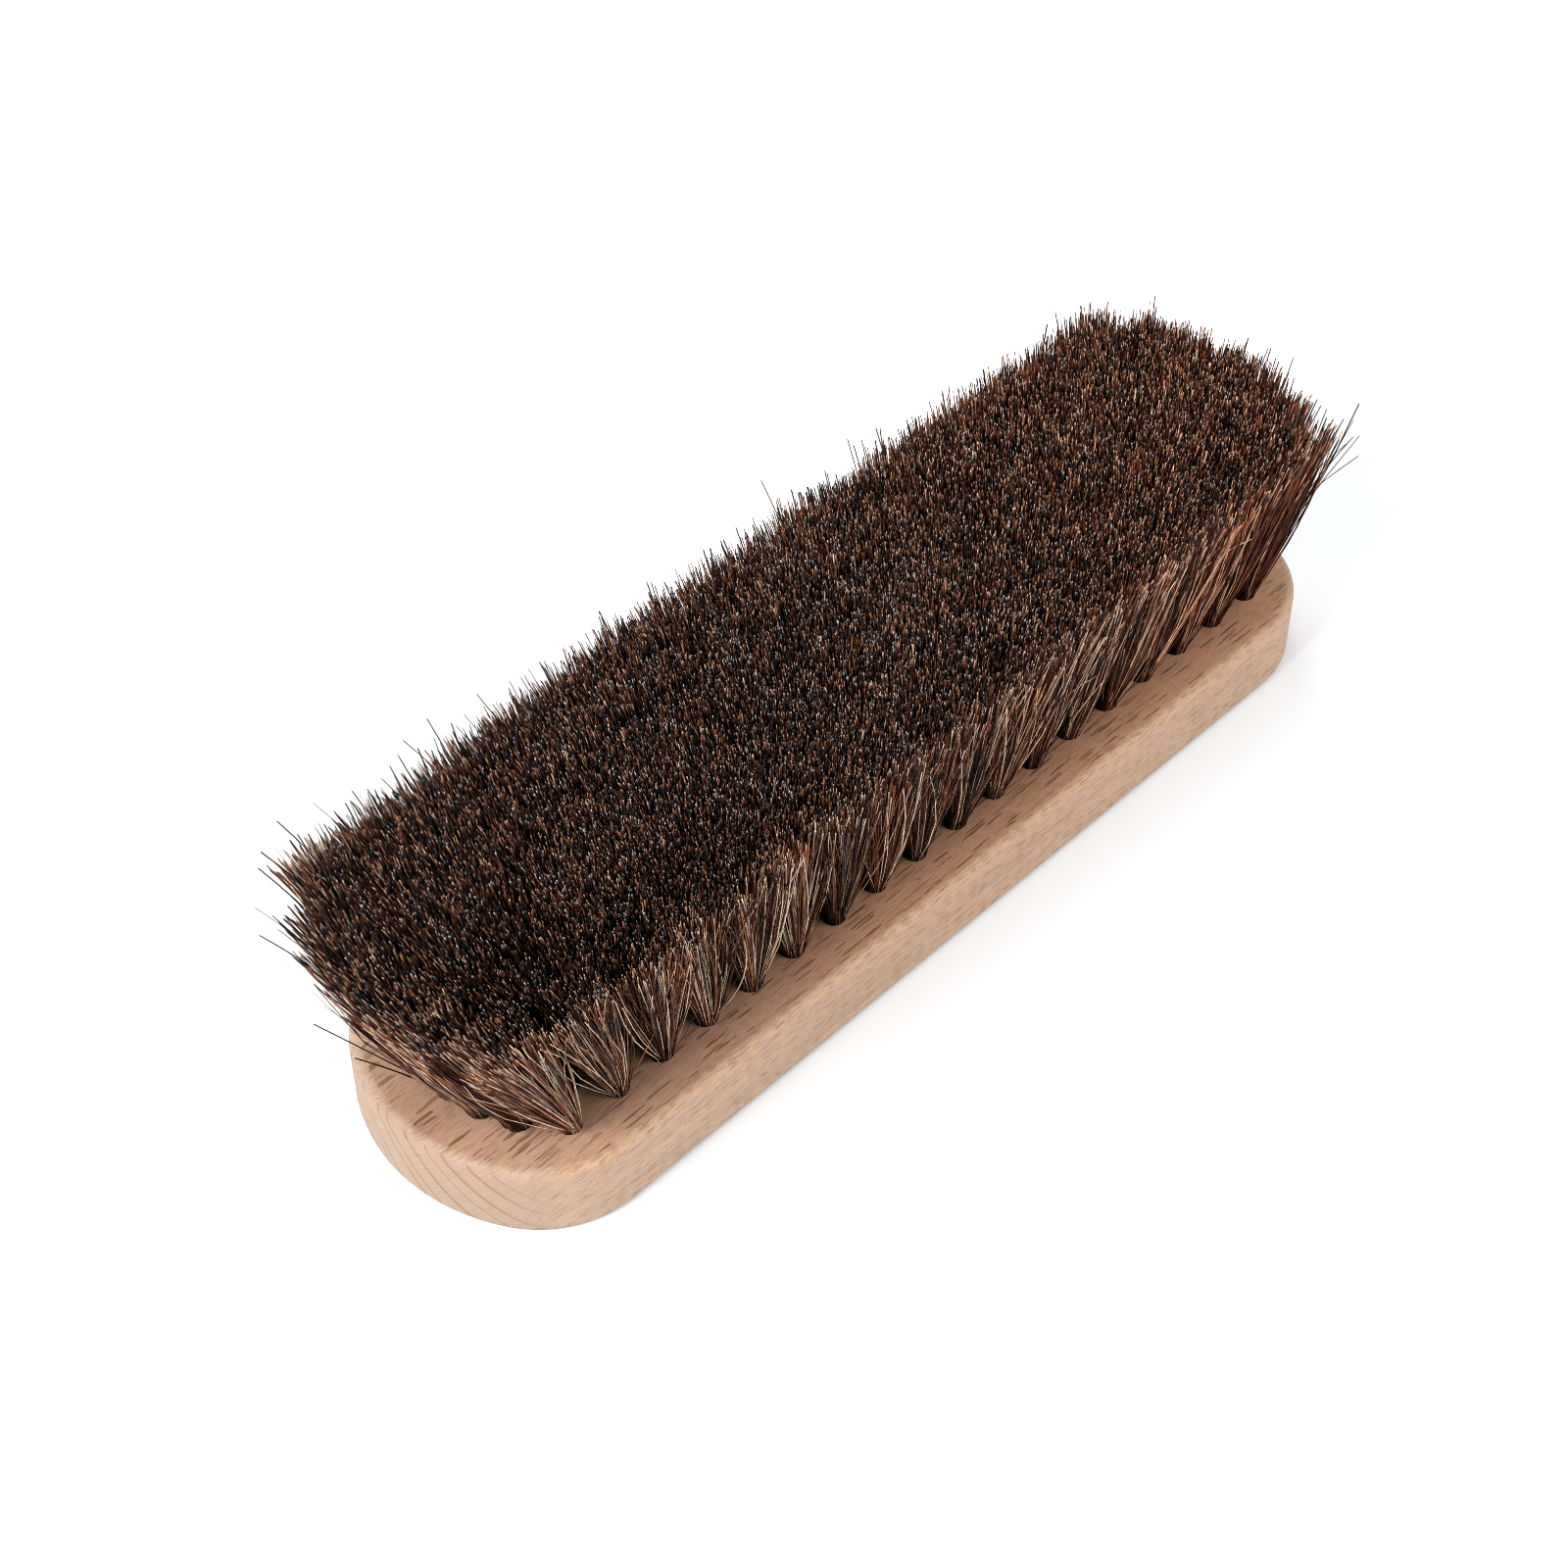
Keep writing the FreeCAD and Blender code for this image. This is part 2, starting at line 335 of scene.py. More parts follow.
@dataclass(frozen=True)
class BeechFinish:
    """Sanded, unsealed beech, cut so that the growth rings cross the block at a slant.

    Sizes and places are in millimetres of the wood. The rings are circles about the pith line, which runs
    along the block outside it. A place in the wood is then known by its length along the grain, its arc round
    the pith and its distance from the pith, and the rays are thin in the arc and long in the distance. A run,
    an overhang and a field give the places at which a smooth step is 0 and 1. A share says how strongly a
    mark shows on the long sides, and a gain what is added on another side of the block. A line of light or
    roughness is its slope and its start.
    """

    sides: BlockSides = BlockSides()
    pith_across: float = -50.0
    pith_height: float = 49.0
    arc_radius: float = 64.0
    ring_spacing: float = 2.5
    ring_waver: float = 1.2
    waver_sizes: tuple[float, float, float] = (70.0, 14.0, 14.0)
    ring_uneven_scale: float = 0.16
    ring_uneven_size: float = 5.0
    ring_rise: tuple[float, float] = (0.76, 0.96)
    ring_fall: tuple[float, float] = (1.0, 0.97)
    ray_cell: tuple[float, float, float] = (5.7, 0.48, 15.0)
    ray_kept_from: float = 0.38
    dash_cell: tuple[float, float, float] = (2.6, 0.135, 7.0)
    dash_kept_from: float = 0.35
    kept_run: float = 0.15
    bend_sizes: tuple[float, float, float] = (3.0, 1.5, 1.5)
    bend: float = 0.8
    spindle_rim: tuple[float, float] = (0.42, 0.36)
    spindle_depth: tuple[float, float] = (0.6, 0.4)
    fibre_sizes: tuple[float, float, float] = (1.1, 0.16, 0.16)
    band_sizes: tuple[float, float, float] = (60.0, 2.6, 2.6)
    streak_contrast: float = 2.2
    pale: Colour = (0.473, 0.318, 0.212)
    warm: Colour = (0.396, 0.256, 0.164)
    end_grain: Colour = (0.365, 0.255, 0.186)
    fleck: Colour = (0.172, 0.07, 0.037)
    ring: Colour = (0.24, 0.14, 0.085)
    rounded_edge: Colour = (0.50, 0.31, 0.17)
    tint_run: tuple[float, float] = (-65.0, 0.0)
    left_tint: Colour = (0.96, 0.985, 1.02)
    right_tint: Colour = (0.98, 0.955, 0.93)
    # The face is tinted warmer, and towards the right it is also painted lighter, as painted light.
    left_face_tint: Colour = (1.12, 0.985, 0.935)
    right_face_tint_and_light: Colour = (1.25, 1.06, 0.955)
    end_grain_share: float = 0.75
    edge_share: float = 0.5
    ring_share: float = 0.05
    ring_end_gain: float = 0.8
    dash_share: float = 0.65
    dash_end_gain: float = -0.5
    dash_edge_gain: float = 0.3
    dash_face_loss_share: float = 0.25
    ray_share: float = 0.16
    ray_end_gain: float = -0.12
    ray_face_gain: float = 0.75
    overhang: tuple[float, float] = (20.0, 14.0)
    tuft_field: tuple[float, float] = (74.0, 64.0)
    tuft_shift: float = 3.0
    lighter_run: tuple[float, float] = (20.0, 45.0)
    lighter_share: float = 0.25
    hair_shade: Colour = (0.625, 0.585, 0.545)
    fibre_light: tuple[float, float] = (0.44, 0.78)
    # Painted shade along the rounded edge of the underside, where the block meets the floor.
    underside_shade_share: float = 0.55
    fibre_roughness: tuple[float, float] = (0.1, 0.5)
    dip_roughness: float = 0.16
    specular: float = 0.32
    dash_dip_share: float = 0.7
    fibre_relief: float = 0.3
    bump_strength: float = 0.6
    bump_height: float = 0.04 * MM

    def grain_frame(self, graph: Graph, place: Socket) -> tuple[Socket, Socket]:
        """Works out where a point lies in the tree.

        The distance from the pith is the root of the sum of the squares across and upwards, plus a waver,
        and the arc is the angle about the pith times a radius.

        Args:
            graph: The material's tree.
            place: The point, in millimetres of the block.

        Returns:
            The place as (length, arc, distance) in millimetres, and the distance alone.
        """
        waver = graph.noise(graph.stretched(place, self.waver_sizes), 1.0, 1.0)
        parts = graph.parts(place)
        across = graph.math("SUBTRACT", parts[1], self.pith_across)
        height = graph.math("SUBTRACT", parts[2], self.pith_height)
        squares = graph.line(height, height, graph.product(across, across))
        shift = graph.product(graph.math("SUBTRACT", waver, 0.5), self.ring_waver)
        distance = graph.math("ADD", graph.math("SQRT", squares), shift)
        arc = graph.product(graph.math("ARCTAN2", height, across), self.arc_radius)
        joined = graph.add("ShaderNodeCombineXYZ", {0: parts[0], 1: arc, 2: distance}).outputs[0]
        return joined, distance

    def spindles(self, graph: Graph, place: Socket, cell: Sequence[float], kept_from: float) -> Socket:
        """Lays a spindle into some of the cells of a stretched cell pattern.

        Args:
            graph: The material's tree.
            place: The place in the tree.
            cell: Size of a cell along the length, the arc and the distance.
            kept_from: The cells whose own random number is above this have a spindle.

        Returns:
            The mask, of another depth in every cell.
        """
        bent = graph.noise(graph.stretched(place, self.bend_sizes), 1.0, 1.0)
        inputs = {0: graph.stretched(place, cell), 1: graph.line(bent, self.bend, -self.bend / 2.0)}
        moved = graph.add("ShaderNodeVectorMath", inputs).outputs[0]
        cells = graph.add("ShaderNodeTexVoronoi", {"Vector": moved, "Scale": 1.0}).outputs
        spindle = graph.step(cells["Distance"], *self.spindle_rim)
        pick = graph.add("ShaderNodeSeparateColor", {0: cells["Color"]}).outputs
        kept = graph.step(pick[0], kept_from, kept_from + self.kept_run)
        return graph.product(spindle, kept, graph.line(pick[1], *self.spindle_depth))

    def rings(self, graph: Graph, distance: Socket) -> Socket:
        """Draws the growth rings, a thin line wherever the distance passes a ring's edge.

        Args:
            graph: The material's tree.
            distance: The distance from the pith in millimetres.

        Returns:
            The mask of the lines.
        """
        inputs = {"W": distance, "Scale": self.ring_uneven_scale}
        uneven = graph.add("ShaderNodeTexNoise", inputs, noise_dimensions="1D").outputs[0]
        way = graph.line(uneven, self.ring_uneven_size, distance)
        turn = graph.math("FRACT", graph.math("DIVIDE", way, self.ring_spacing))
        return graph.product(graph.step(turn, *self.ring_rise), graph.step(turn, *self.ring_fall))

    def ground(self, graph: Graph, block_place: Socket, place: Socket, sides: SideMasks) -> Socket:
        """Colours the wood between its marks.

        Args:
            graph: The material's tree.
            block_place: The point, in millimetres of the block.
            place: The place in the tree.
            sides: Masks of the block's sides.

        Returns:
            The colour: pale and warm bands with a tint along the block, and other tones on the ends, the
            rounded edge and the face.
        """
        bands = Streaks.read(graph, place, self.band_sizes, self.streak_contrast)
        along = graph.step(graph.parts(block_place)[0], *self.tint_run)
        tint = graph.mix(along, opaque(self.left_tint), opaque(self.right_tint))
        # Face tint, with painted light towards the right.
        face_tint = graph.mix(along, opaque(self.left_face_tint), opaque(self.right_face_tint_and_light))
        colour = graph.mix(bands, opaque(self.warm), opaque(self.pale))
        colour = graph.mix(1.0, colour, tint, "MULTIPLY")
        colour = graph.mix(graph.product(sides.end, self.end_grain_share), colour, opaque(self.end_grain))
        colour = graph.mix(graph.product(sides.edge, self.edge_share), colour, opaque(self.rounded_edge))
        return graph.mix(sides.face, colour, face_tint, "MULTIPLY")

    def marked(self, graph: Graph, colour: Socket, marks: WoodMarks, sides: SideMasks) -> Socket:
        """Draws rings, dashes and rays over the wood, each with a strength of its own on every side.

        Args:
            graph: The material's tree.
            colour: The wood's colour between its marks.
            marks: Masks of the marks.
            sides: Masks of the block's sides.

        Returns:
            The colour with the marks.
        """
        ring = graph.line(sides.square_end, self.ring_end_gain, self.ring_share)
        colour = graph.mix(graph.product(marks.rings, ring), colour, opaque(self.ring))
        dash = graph.line(sides.end, self.dash_end_gain, self.dash_share)
        dash = graph.line(sides.edge, self.dash_edge_gain, dash)
        dash = graph.product(dash, graph.line(sides.face, -self.dash_face_loss_share, 1.0))
        colour = graph.mix(graph.product(marks.dashes, dash), colour, opaque(self.fleck))
        ray = graph.line(sides.end, self.ray_end_gain, self.ray_share)
        ray = graph.line(sides.face, self.ray_face_gain, ray)
        return graph.mix(graph.product(marks.rays, ray), colour, opaque(self.fleck))

    def under_hair(self, graph: Graph, place: Socket) -> Socket:
        """Works out how far the overhanging tufts darken the face.

        The darkening is a smooth step across the block times one along it, shifted to the left with the
        tufts, and it is a share less on the right.

        Args:
            graph: The material's tree.
            place: The point, in millimetres of the block.

        Returns:
            The share of the shade, from 0 to 1.
        """
        parts = graph.parts(place)
        across = graph.step(graph.math("ABSOLUTE", parts[1]), *self.overhang)
        along = graph.math("ABSOLUTE", graph.math("ADD", parts[0], self.tuft_shift))
        lighter = graph.line(graph.step(parts[0], *self.lighter_run), -self.lighter_share, 1.0)
        return graph.product(across, lighter, graph.step(along, *self.tuft_field))

    def material(self) -> bpy.types.Material:
        """Builds the beech material.

        Returns:
            The material, whose pattern sits in the wood and so runs on over every edge.
        """
        material, graph, shader = new_material("beech_sanded")
        block_place = place_in_mm(graph)
        place, distance = self.grain_frame(graph, block_place)
        sides = self.sides.masks(graph)
        marks = WoodMarks(
            rays=self.spindles(graph, place, self.ray_cell, self.ray_kept_from),
            dashes=self.spindles(graph, place, self.dash_cell, self.dash_kept_from),
            rings=self.rings(graph, distance),
            fibres=Streaks.read(graph, place, self.fibre_sizes, self.streak_contrast),
        )
        colour = self.marked(graph, self.ground(graph, block_place, place, sides), marks, sides)
        shaded = graph.product(self.under_hair(graph, block_place), sides.face)
        colour = graph.mix(shaded, colour, opaque(self.hair_shade), "MULTIPLY")
        light = graph.line(marks.fibres, *self.fibre_light)
        # Painted shade on the underside's rounded edge.
        light = graph.product(light, graph.line(sides.under, -self.underside_shade_share, 1.0))
        graph.feed(shader.inputs["Base Color"], graph.dimmed(colour, light))

        dips = graph.math("MAXIMUM", marks.rays, graph.product(marks.dashes, self.dash_dip_share))
        roughness = graph.line(dips, self.dip_roughness, graph.line(marks.fibres, *self.fibre_roughness))
        graph.feed(shader.inputs["Roughness"], roughness)
        graph.feed(shader.inputs["Specular IOR Level"], self.specular)
        height = graph.line(marks.fibres, self.fibre_relief, graph.math("SUBTRACT", 1.0, dips))
        inputs = {"Strength": self.bump_strength, "Distance": self.bump_height, "Height": height}
        graph.feed(shader.inputs["Normal"], graph.add("ShaderNodeBump", inputs).outputs[0])
        return material


@dataclass(frozen=True)
class WireFinish:
    """Drawn steel wire of the anchors, grey with faint marks in millimetres and a little tarnish."""

    bright: Colour = (0.62, 0.61, 0.58)
    dull: Colour = (0.30, 0.28, 0.25)
    mark_sizes: tuple[float, float, float] = (0.08, 3.0, 0.08)
    mark_contrast: float = 2.4
    mark_roughness: tuple[float, float] = (-0.18, 0.5)

    def material(self) -> bpy.types.Material:
        """Builds the wire material, whose roughness is a line of slope and start in the marks.

        Returns:
            The material.
        """
        material, graph, shader = new_material("anchor_wire_drawn")
        marks = Streaks.read(graph, place_in_mm(graph), self.mark_sizes, self.mark_contrast)
        graph.feed(shader.inputs["Base Color"], graph.mix(marks, opaque(self.dull), opaque(self.bright)))
        graph.feed(shader.inputs["Roughness"], graph.line(marks, *self.mark_roughness))
        graph.feed(shader.inputs["Metallic"], 1.0)
        return material


@dataclass(frozen=True)
class HorsehairFinish:
    """Mixed horsehair, from black through chestnut to a few fair hairs.

    Every hair carries three numbers on its points: its tone, which picks the colour, along, which runs
    from 0 at the fold to 1 at the trimmed tip, and inside, which is 1 for a hair that is hemmed in by others.
    Little light comes down between packed hairs, so a hemmed-in hair darkens with its depth under the
    trimmed face, as painted shade, and painted shade also darkens the necks of the tufts. Over a run of
    the block's length towards the right the hair is painted redder, as painted light on the lit sides of
    the hairs that lean away there. A random number picks the glossy hairs and the hairs with a painted
    glint at the trimmed tip. Depths and places are in millimetres, a pair of places, alongs or picks is
    where a smooth step is 0 and 1, and other pairs are the slope and start of a line.
    """

    trim_height: float
    tone_name: str = "tone"
    along_name: str = "along"
    inside_name: str = "inside"
    tones: tuple[tuple[float, Colour], ...] = (
        (0.00, (0.0085, 0.0053, 0.0047)),
        (0.30, (0.018, 0.0097, 0.0078)),
        (0.52, (0.054, 0.0185, 0.0115)),
        (0.72, (0.145, 0.044, 0.0205)),
        (0.86, (0.270, 0.102, 0.045)),
        (0.95, (0.390, 0.205, 0.113)),
        (1.00, (0.590, 0.420, 0.300)),
    )
    # Painted glint: the pale, greyish colour of the last stretch of the picked hairs, at the trimmed tip.
    cut: Colour = (0.45, 0.415, 0.40)
    glint_along: tuple[float, float] = (0.988, 0.994)
    glint_picks: tuple[float, float] = (0.78, 0.98)
    # Painted light: the hair is tinted redder towards the right, where the lit sides of the hairs that lean
    # away show.
    right_tint: Colour = (1.13, 0.96, 0.86)
    right_run: tuple[float, float] = (0.0, 60.0)
    gloom_depth: float = 0.6
    gloom_share: float = 0.94
    # Painted shade at the tufts' necks, where they leave the holes: half the light there and full light
    # above.
    neck_along: tuple[float, float] = (0.16, 0.36)
    neck_light: tuple[float, float] = (0.5, 0.5)
    # The mottle along the hairs is partly their own uneven tone and partly painted highlight bands.
    mottle_sizes: tuple[float, float, float] = (0.6, 0.6, 4.0)
    mottle_contrast: float = 3.0
    mottle_light: tuple[float, float] = (1.1, 0.45)
    mottle_roughness: tuple[float, float] = (0.2, 0.3)
    gloss_picks: tuple[float, float] = (0.86, 0.95)
    gloss: tuple[float, float] = (0.44, 0.03)
    ior: float = 1.55

    def gloom(self, graph: Graph, place: Socket) -> Socket:
        """Works out how much light a hemmed-in hair loses.

        The loss is a share of 1 less exp of minus the depth under the trimmed face over its scale.

        Args:
            graph: The material's tree.
            place: The point, in millimetres of the brush.

        Returns:
            The share of the light that is lost.
        """
        height = graph.parts(place)[2]
        depth = graph.math("MAXIMUM", graph.math("SUBTRACT", self.trim_height, height), 0.0)
        left = graph.math("EXPONENT", graph.math("DIVIDE", depth, -self.gloom_depth))
        lost = graph.math("SUBTRACT", 1.0, left)
        return graph.product(lost, self.gloom_share, graph.carried(self.inside_name))

    def material(self) -> bpy.types.Material:
        """Builds the hair material.

        Returns:
            The material, which reads the three numbers that the hairs carry.
        """
        material, graph, shader = new_material("horsehair_mixed")
        place = place_in_mm(graph)
        tone = graph.carried(self.tone_name)
        along = graph.carried(self.along_name)
        lit = graph.math("SUBTRACT", 1.0, self.gloom(graph, place))
        mottle = Streaks.read(graph, place, self.mottle_sizes, self.mottle_contrast)
        pick = graph.add("ShaderNodeTexWhiteNoise", {"W": tone}, noise_dimensions="1D").outputs["Value"]
        # Painted glint on the trimmed tips of the picked hairs.
        tip = graph.product(graph.step(along, *self.glint_along), graph.step(pick, *self.glint_picks))
        # Painted shade at the tufts' necks.
        neck = graph.line(graph.step(along, *self.neck_along), *self.neck_light)
        gloss = graph.line(graph.step(pick, *self.gloss_picks), *self.gloss)
        # The light in the colour holds the painted shade of the gloom and the necks, and the mottle, which is
        # partly painted highlight bands.
        light = graph.product(lit, graph.line(mottle, *self.mottle_light), neck)
        colour = graph.mix(tip, graph.ramp(tone, self.tones), opaque(self.cut))
        # Painted light, redder towards the right.
        right = graph.step(graph.parts(place)[0], *self.right_run)
        colour = graph.mix(right, colour, opaque(self.right_tint), "MULTIPLY")
        graph.feed(shader.inputs["Base Color"], graph.dimmed(colour, light))
        graph.feed(shader.inputs["Roughness"], graph.line(mottle, *self.mottle_roughness))
        graph.feed(shader.inputs["Specular IOR Level"], graph.product(lit, gloss))
        graph.feed(shader.inputs["IOR"], self.ior)
        return material


@dataclass(frozen=True)
class FloorFinish:
    """Pale paper under the brush, lit a little from behind as on a light table."""

    paper: Colour = (0.82, 0.845, 0.865)
    glow: float = 0.1
    roughness: float = 0.9
    specular: float = 0.1

    def material(self) -> bpy.types.Material:
        """Builds the paper material.

        Returns:
            The material, which is the same all over.
        """
        material, graph, shader = new_material("pale_paper")
        graph.feed(shader.inputs["Base Color"], opaque(self.paper))
        graph.feed(shader.inputs["Emission Color"], opaque(WHITE))
        graph.feed(shader.inputs["Emission Strength"], self.glow)
        graph.feed(shader.inputs["Roughness"], self.roughness)
        graph.feed(shader.inputs["Specular IOR Level"], self.specular)
        return material


def dress(node: bpy.types.Object, material: bpy.types.Material) -> None:
    """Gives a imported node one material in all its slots."""
    node.data.materials.clear()
    node.data.materials.append(material)


def place_hair(name: str, mesh: bpy.types.Mesh, material: bpy.types.Material) -> bpy.types.Object:
    """Puts a piece of hair into the scene, riding on the brush.

    Args:
        name: The piece's name.
        mesh: The hairs.
        material: The hair material.

    Returns:
        The new piece.
    """
    mesh.materials.append(material)
    piece = bpy.data.objects.new(name, mesh)
    bpy.context.scene.collection.objects.link(piece)
    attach(piece, BODY)
    return piece


def node_points(node: str) -> np.ndarray:
    """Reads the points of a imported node.

    Args:
        node: The node's name.

    Returns:
        Its vertices as rows of x, y, z.
    """
    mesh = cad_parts[node].data
    points = np.empty(len(mesh.vertices) * 3, np.float32)
    mesh.vertices.foreach_get("co", points)
    return points.reshape(-1, 3).astype(float)


@dataclass
class Block:
    """The beech block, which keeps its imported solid."""

    finish: BeechFinish = BeechFinish()
    node: str = "block"

    @property
    def face_height(self) -> float:
        """Height of the face that the tufts stand on."""
        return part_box(self.node)[1].z

    def build(self) -> None:
        """Dresses the block."""
        dress(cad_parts[self.node], self.finish.material())
        log.info("block: beech finish")


@dataclass
class AnchorRow:
    """The wire anchors of one row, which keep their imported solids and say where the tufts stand."""

    number: int
    fan_depth: tuple[float, float] = (250.0 * MM, 112.0 * MM)
    least_gap: float = 3.0 * MM

    @property
    def node(self) -> str:
        """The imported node's name."""
        return f"anchors_row_{self.number}"

    def centres(self) -> np.ndarray:
        """Works out the middle of every anchor.

        The row's points are sorted along the block and cut into one group per anchor wherever the next
        point is a wide gap further on. A group's middle is the middle of its box.

        Returns:
            One row of x, y, z per anchor, from the left end to the right.
        """
        points = node_points(self.node)
        points = points[np.argsort(points[:, 0])]
        starts = np.flatnonzero(np.diff(points[:, 0], prepend=-np.inf) > self.least_gap)
        low = np.minimum.reduceat(points, starts, axis=0)
        high = np.maximum.reduceat(points, starts, axis=0)
        return (low + high) / 2.0

    def mouths(self, face_height: float) -> tuple[np.ndarray, np.ndarray]:
        """Works out where the tufts leave the block and how they lean.

        The holes fan out: all of a row's axes aim at points a fan depth under the face, so a place on an
        axis is its place at the face times one less its depth over the fan depth.

        Args:
            face_height: Height of the block's upper face.

        Returns:
            The hole mouths as rows of x, y, and the slopes of their axes as rows of dx/dz, dy/dz.
        """
        centres = self.centres()
        depth = face_height - centres[:, 2:]
        fan = np.array(self.fan_depth)
        mouths = centres[:, :2] / (1.0 - depth / fan)
        return mouths, mouths / fan

    def build(self, material: bpy.types.Material) -> None:
        """Dresses the anchors in the wire material."""
        dress(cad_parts[self.node], material)
        log.info("%s: wire finish", self.node)


@dataclass(frozen=True)
class Strands:
    """Single hairs as centre lines with a radius and a tone, ready to be skinned.

    Fields: points has one row per hair and one column per station, the root first, radius has the stations
    after the root, tone and inside have one number per hair, and along has one number per station.
    """

    points: np.ndarray
    radius: np.ndarray
    tone: np.ndarray
    inside: np.ndarray
    along: np.ndarray

    def part(self, chosen: np.ndarray) -> "Strands":
        """Returns the chosen hairs alone."""
        return Strands(self.points[chosen], self.radius[chosen], self.tone[chosen], self.inside[chosen],
                       self.along)


class HairSkin:
    """Turns centre lines into a mesh of thin three-sided tubes, pointed at the root and closed at the tip."""

    SIDES = 3
    MARGIN_SHARE = 0.1

    def __init__(self, strands: Strands, rng: np.random.Generator) -> None:
        """Keeps what the skin is made from.

        Args:
            strands: The hairs' centre lines.
            rng: Source of the hairs' random turn about their own axes.
        """
        self.strands = strands
        self.rng = rng
        self.count, self.rings = strands.radius.shape

    def vertices(self) -> np.ndarray:
        """Carries a triangle along every centre line.

        At a station the tangent is the difference of its neighbours, the first direction is the tangent
        crossed with the block's long axis, and the second completes the frame. A corner is the centre
        plus the radius times the cosine and sine of its angle along the two directions.

        Returns:
            Points of the shape (hairs, 1 + rings * sides, 3), with the root first.
        """
        points = self.strands.points
        tangent = np.gradient(points, axis=1)[:, 1:]
        tangent /= np.linalg.norm(tangent, axis=2, keepdims=True)
        first = np.cross(tangent, np.array([1.0, 0.0, 0.0]))
        first /= np.linalg.norm(first, axis=2, keepdims=True)
        second = np.cross(tangent, first)
        turn = self.rng.uniform(0.0, 2.0 * math.pi, (self.count, 1, 1))
        angle = turn + 2.0 * math.pi * np.arange(self.SIDES) / self.SIDES
        ring = np.cos(angle)[..., None] * first[:, :, None] + np.sin(angle)[..., None] * second[:, :, None]
        walls = points[:, 1:, None] + self.strands.radius[:, :, None, None] * ring
        return np.concatenate([points[:, :1], walls.reshape(self.count, -1, 3)], axis=1)

    def corners(self) -> tuple[np.ndarray, np.ndarray]:
        """Numbers the face corners of one hair: the root's triangles, the walls and the tip.

        Returns:
            The vertex index of every corner, and the first corner of every face.
        """
        side = np.arange(self.SIDES)
        after = (side + 1) % self.SIDES
        root = np.stack([np.zeros_like(side), 1 + after, 1 + side], axis=-1)
        ring = 1 + np.arange(self.rings - 1)[:, None] * self.SIDES
        above = ring + self.SIDES
        walls = np.stack([ring + side, ring + after, above + after, above + side], axis=-1)
        tip = 1 + (self.rings - 1) * self.SIDES + side
        corners = np.repeat([3, 4, self.SIDES], [self.SIDES, self.SIDES * (self.rings - 1), 1])
        return np.concatenate([root.ravel(), walls.ravel(), tip]), np.cumsum(corners) - corners

    def bake_places(self) -> np.ndarray:
        """Lays every hair into its own cell of a square grid, with its sides beside one another.

        Within a cell the sides share the width and the stations the height, inside a margin. The tip lies
        over the last stretch of one side, which has its colour.

        Returns:
            One u, v pair per face corner, of the shape (hairs, corners, 2).
        """
        along = self.strands.along
        width = 1.0 / self.SIDES
        side = np.arange(self.SIDES) * width
        low, high = np.full_like(side, along[0]), np.full_like(side, along[1])
        root = np.stack([np.stack([side + width / 2.0, low], -1), np.stack([side + width, high], -1),
                         np.stack([side, high], -1)], axis=1)
        side, low = np.meshgrid(side, along[1:-1])
        high = np.broadcast_to(along[2:, None], side.shape)
        walls = np.stack([np.stack([side, low], -1), np.stack([side + width, low], -1),
                          np.stack([side + width, high], -1), np.stack([side, high], -1)], axis=2)
        tip = np.array([[0.0, along[-1]], [width, along[-1]], [width / 2.0, along[-2]]])
        cell = np.concatenate([root.reshape(-1, 2), walls.reshape(-1, 2), tip])
        cell = self.MARGIN_SHARE + (1.0 - 2.0 * self.MARGIN_SHARE) * cell
        grid = math.ceil(math.sqrt(self.count))
        column, row = np.arange(self.count) % grid, np.arange(self.count) // grid
        return (np.stack([column, row], -1)[:, None] + cell[None]) / grid

    def mesh(self, name: str, finish: HorsehairFinish) -> bpy.types.Mesh:
        """Fills one mesh with all the hairs.

        Args:
            name: The mesh's name.
            finish: Names the numbers that the points carry.

        Returns:
            The mesh, with smooth walls, flat tips and a bake map.
        """
        vertices = self.vertices()
        corners, starts = self.corners()
        per_hair = vertices.shape[1]
        hair = np.arange(self.count)[:, None]
        mesh = bpy.data.meshes.new(name)
        mesh.vertices.add(self.count * per_hair)
        mesh.vertices.foreach_set("co", vertices.astype(np.float32).ravel())
        mesh.loops.add(self.count * len(corners))
        mesh.loops.foreach_set("vertex_index", (hair * per_hair + corners).astype(np.int32).ravel())
        mesh.polygons.add(self.count * len(starts))
        mesh.polygons.foreach_set("loop_start", (hair * len(corners) + starts).astype(np.int32).ravel())
        smooth = np.ones((self.count, len(starts)), bool)
        smooth[:, -1] = False
        mesh.polygons.foreach_set("use_smooth", smooth.ravel())
        mesh.update(calc_edges=True)
        along = self.strands.along
        carried = {
            finish.tone_name: np.repeat(self.strands.tone, per_hair),
            finish.inside_name: np.repeat(self.strands.inside, per_hair),
            finish.along_name: np.tile(np.append(along[:1], np.repeat(along[1:], self.SIDES)), self.count),
        }
        for label, values in carried.items():
            layer = mesh.attributes.new(label, "FLOAT", "POINT")
            layer.data.foreach_set("value", values.astype(np.float32))
        places = mesh.uv_layers.new(name=BAKE_MAP)
        places.data.foreach_set("uv", self.bake_places().astype(np.float32).ravel())
        mesh.validate()
        return mesh


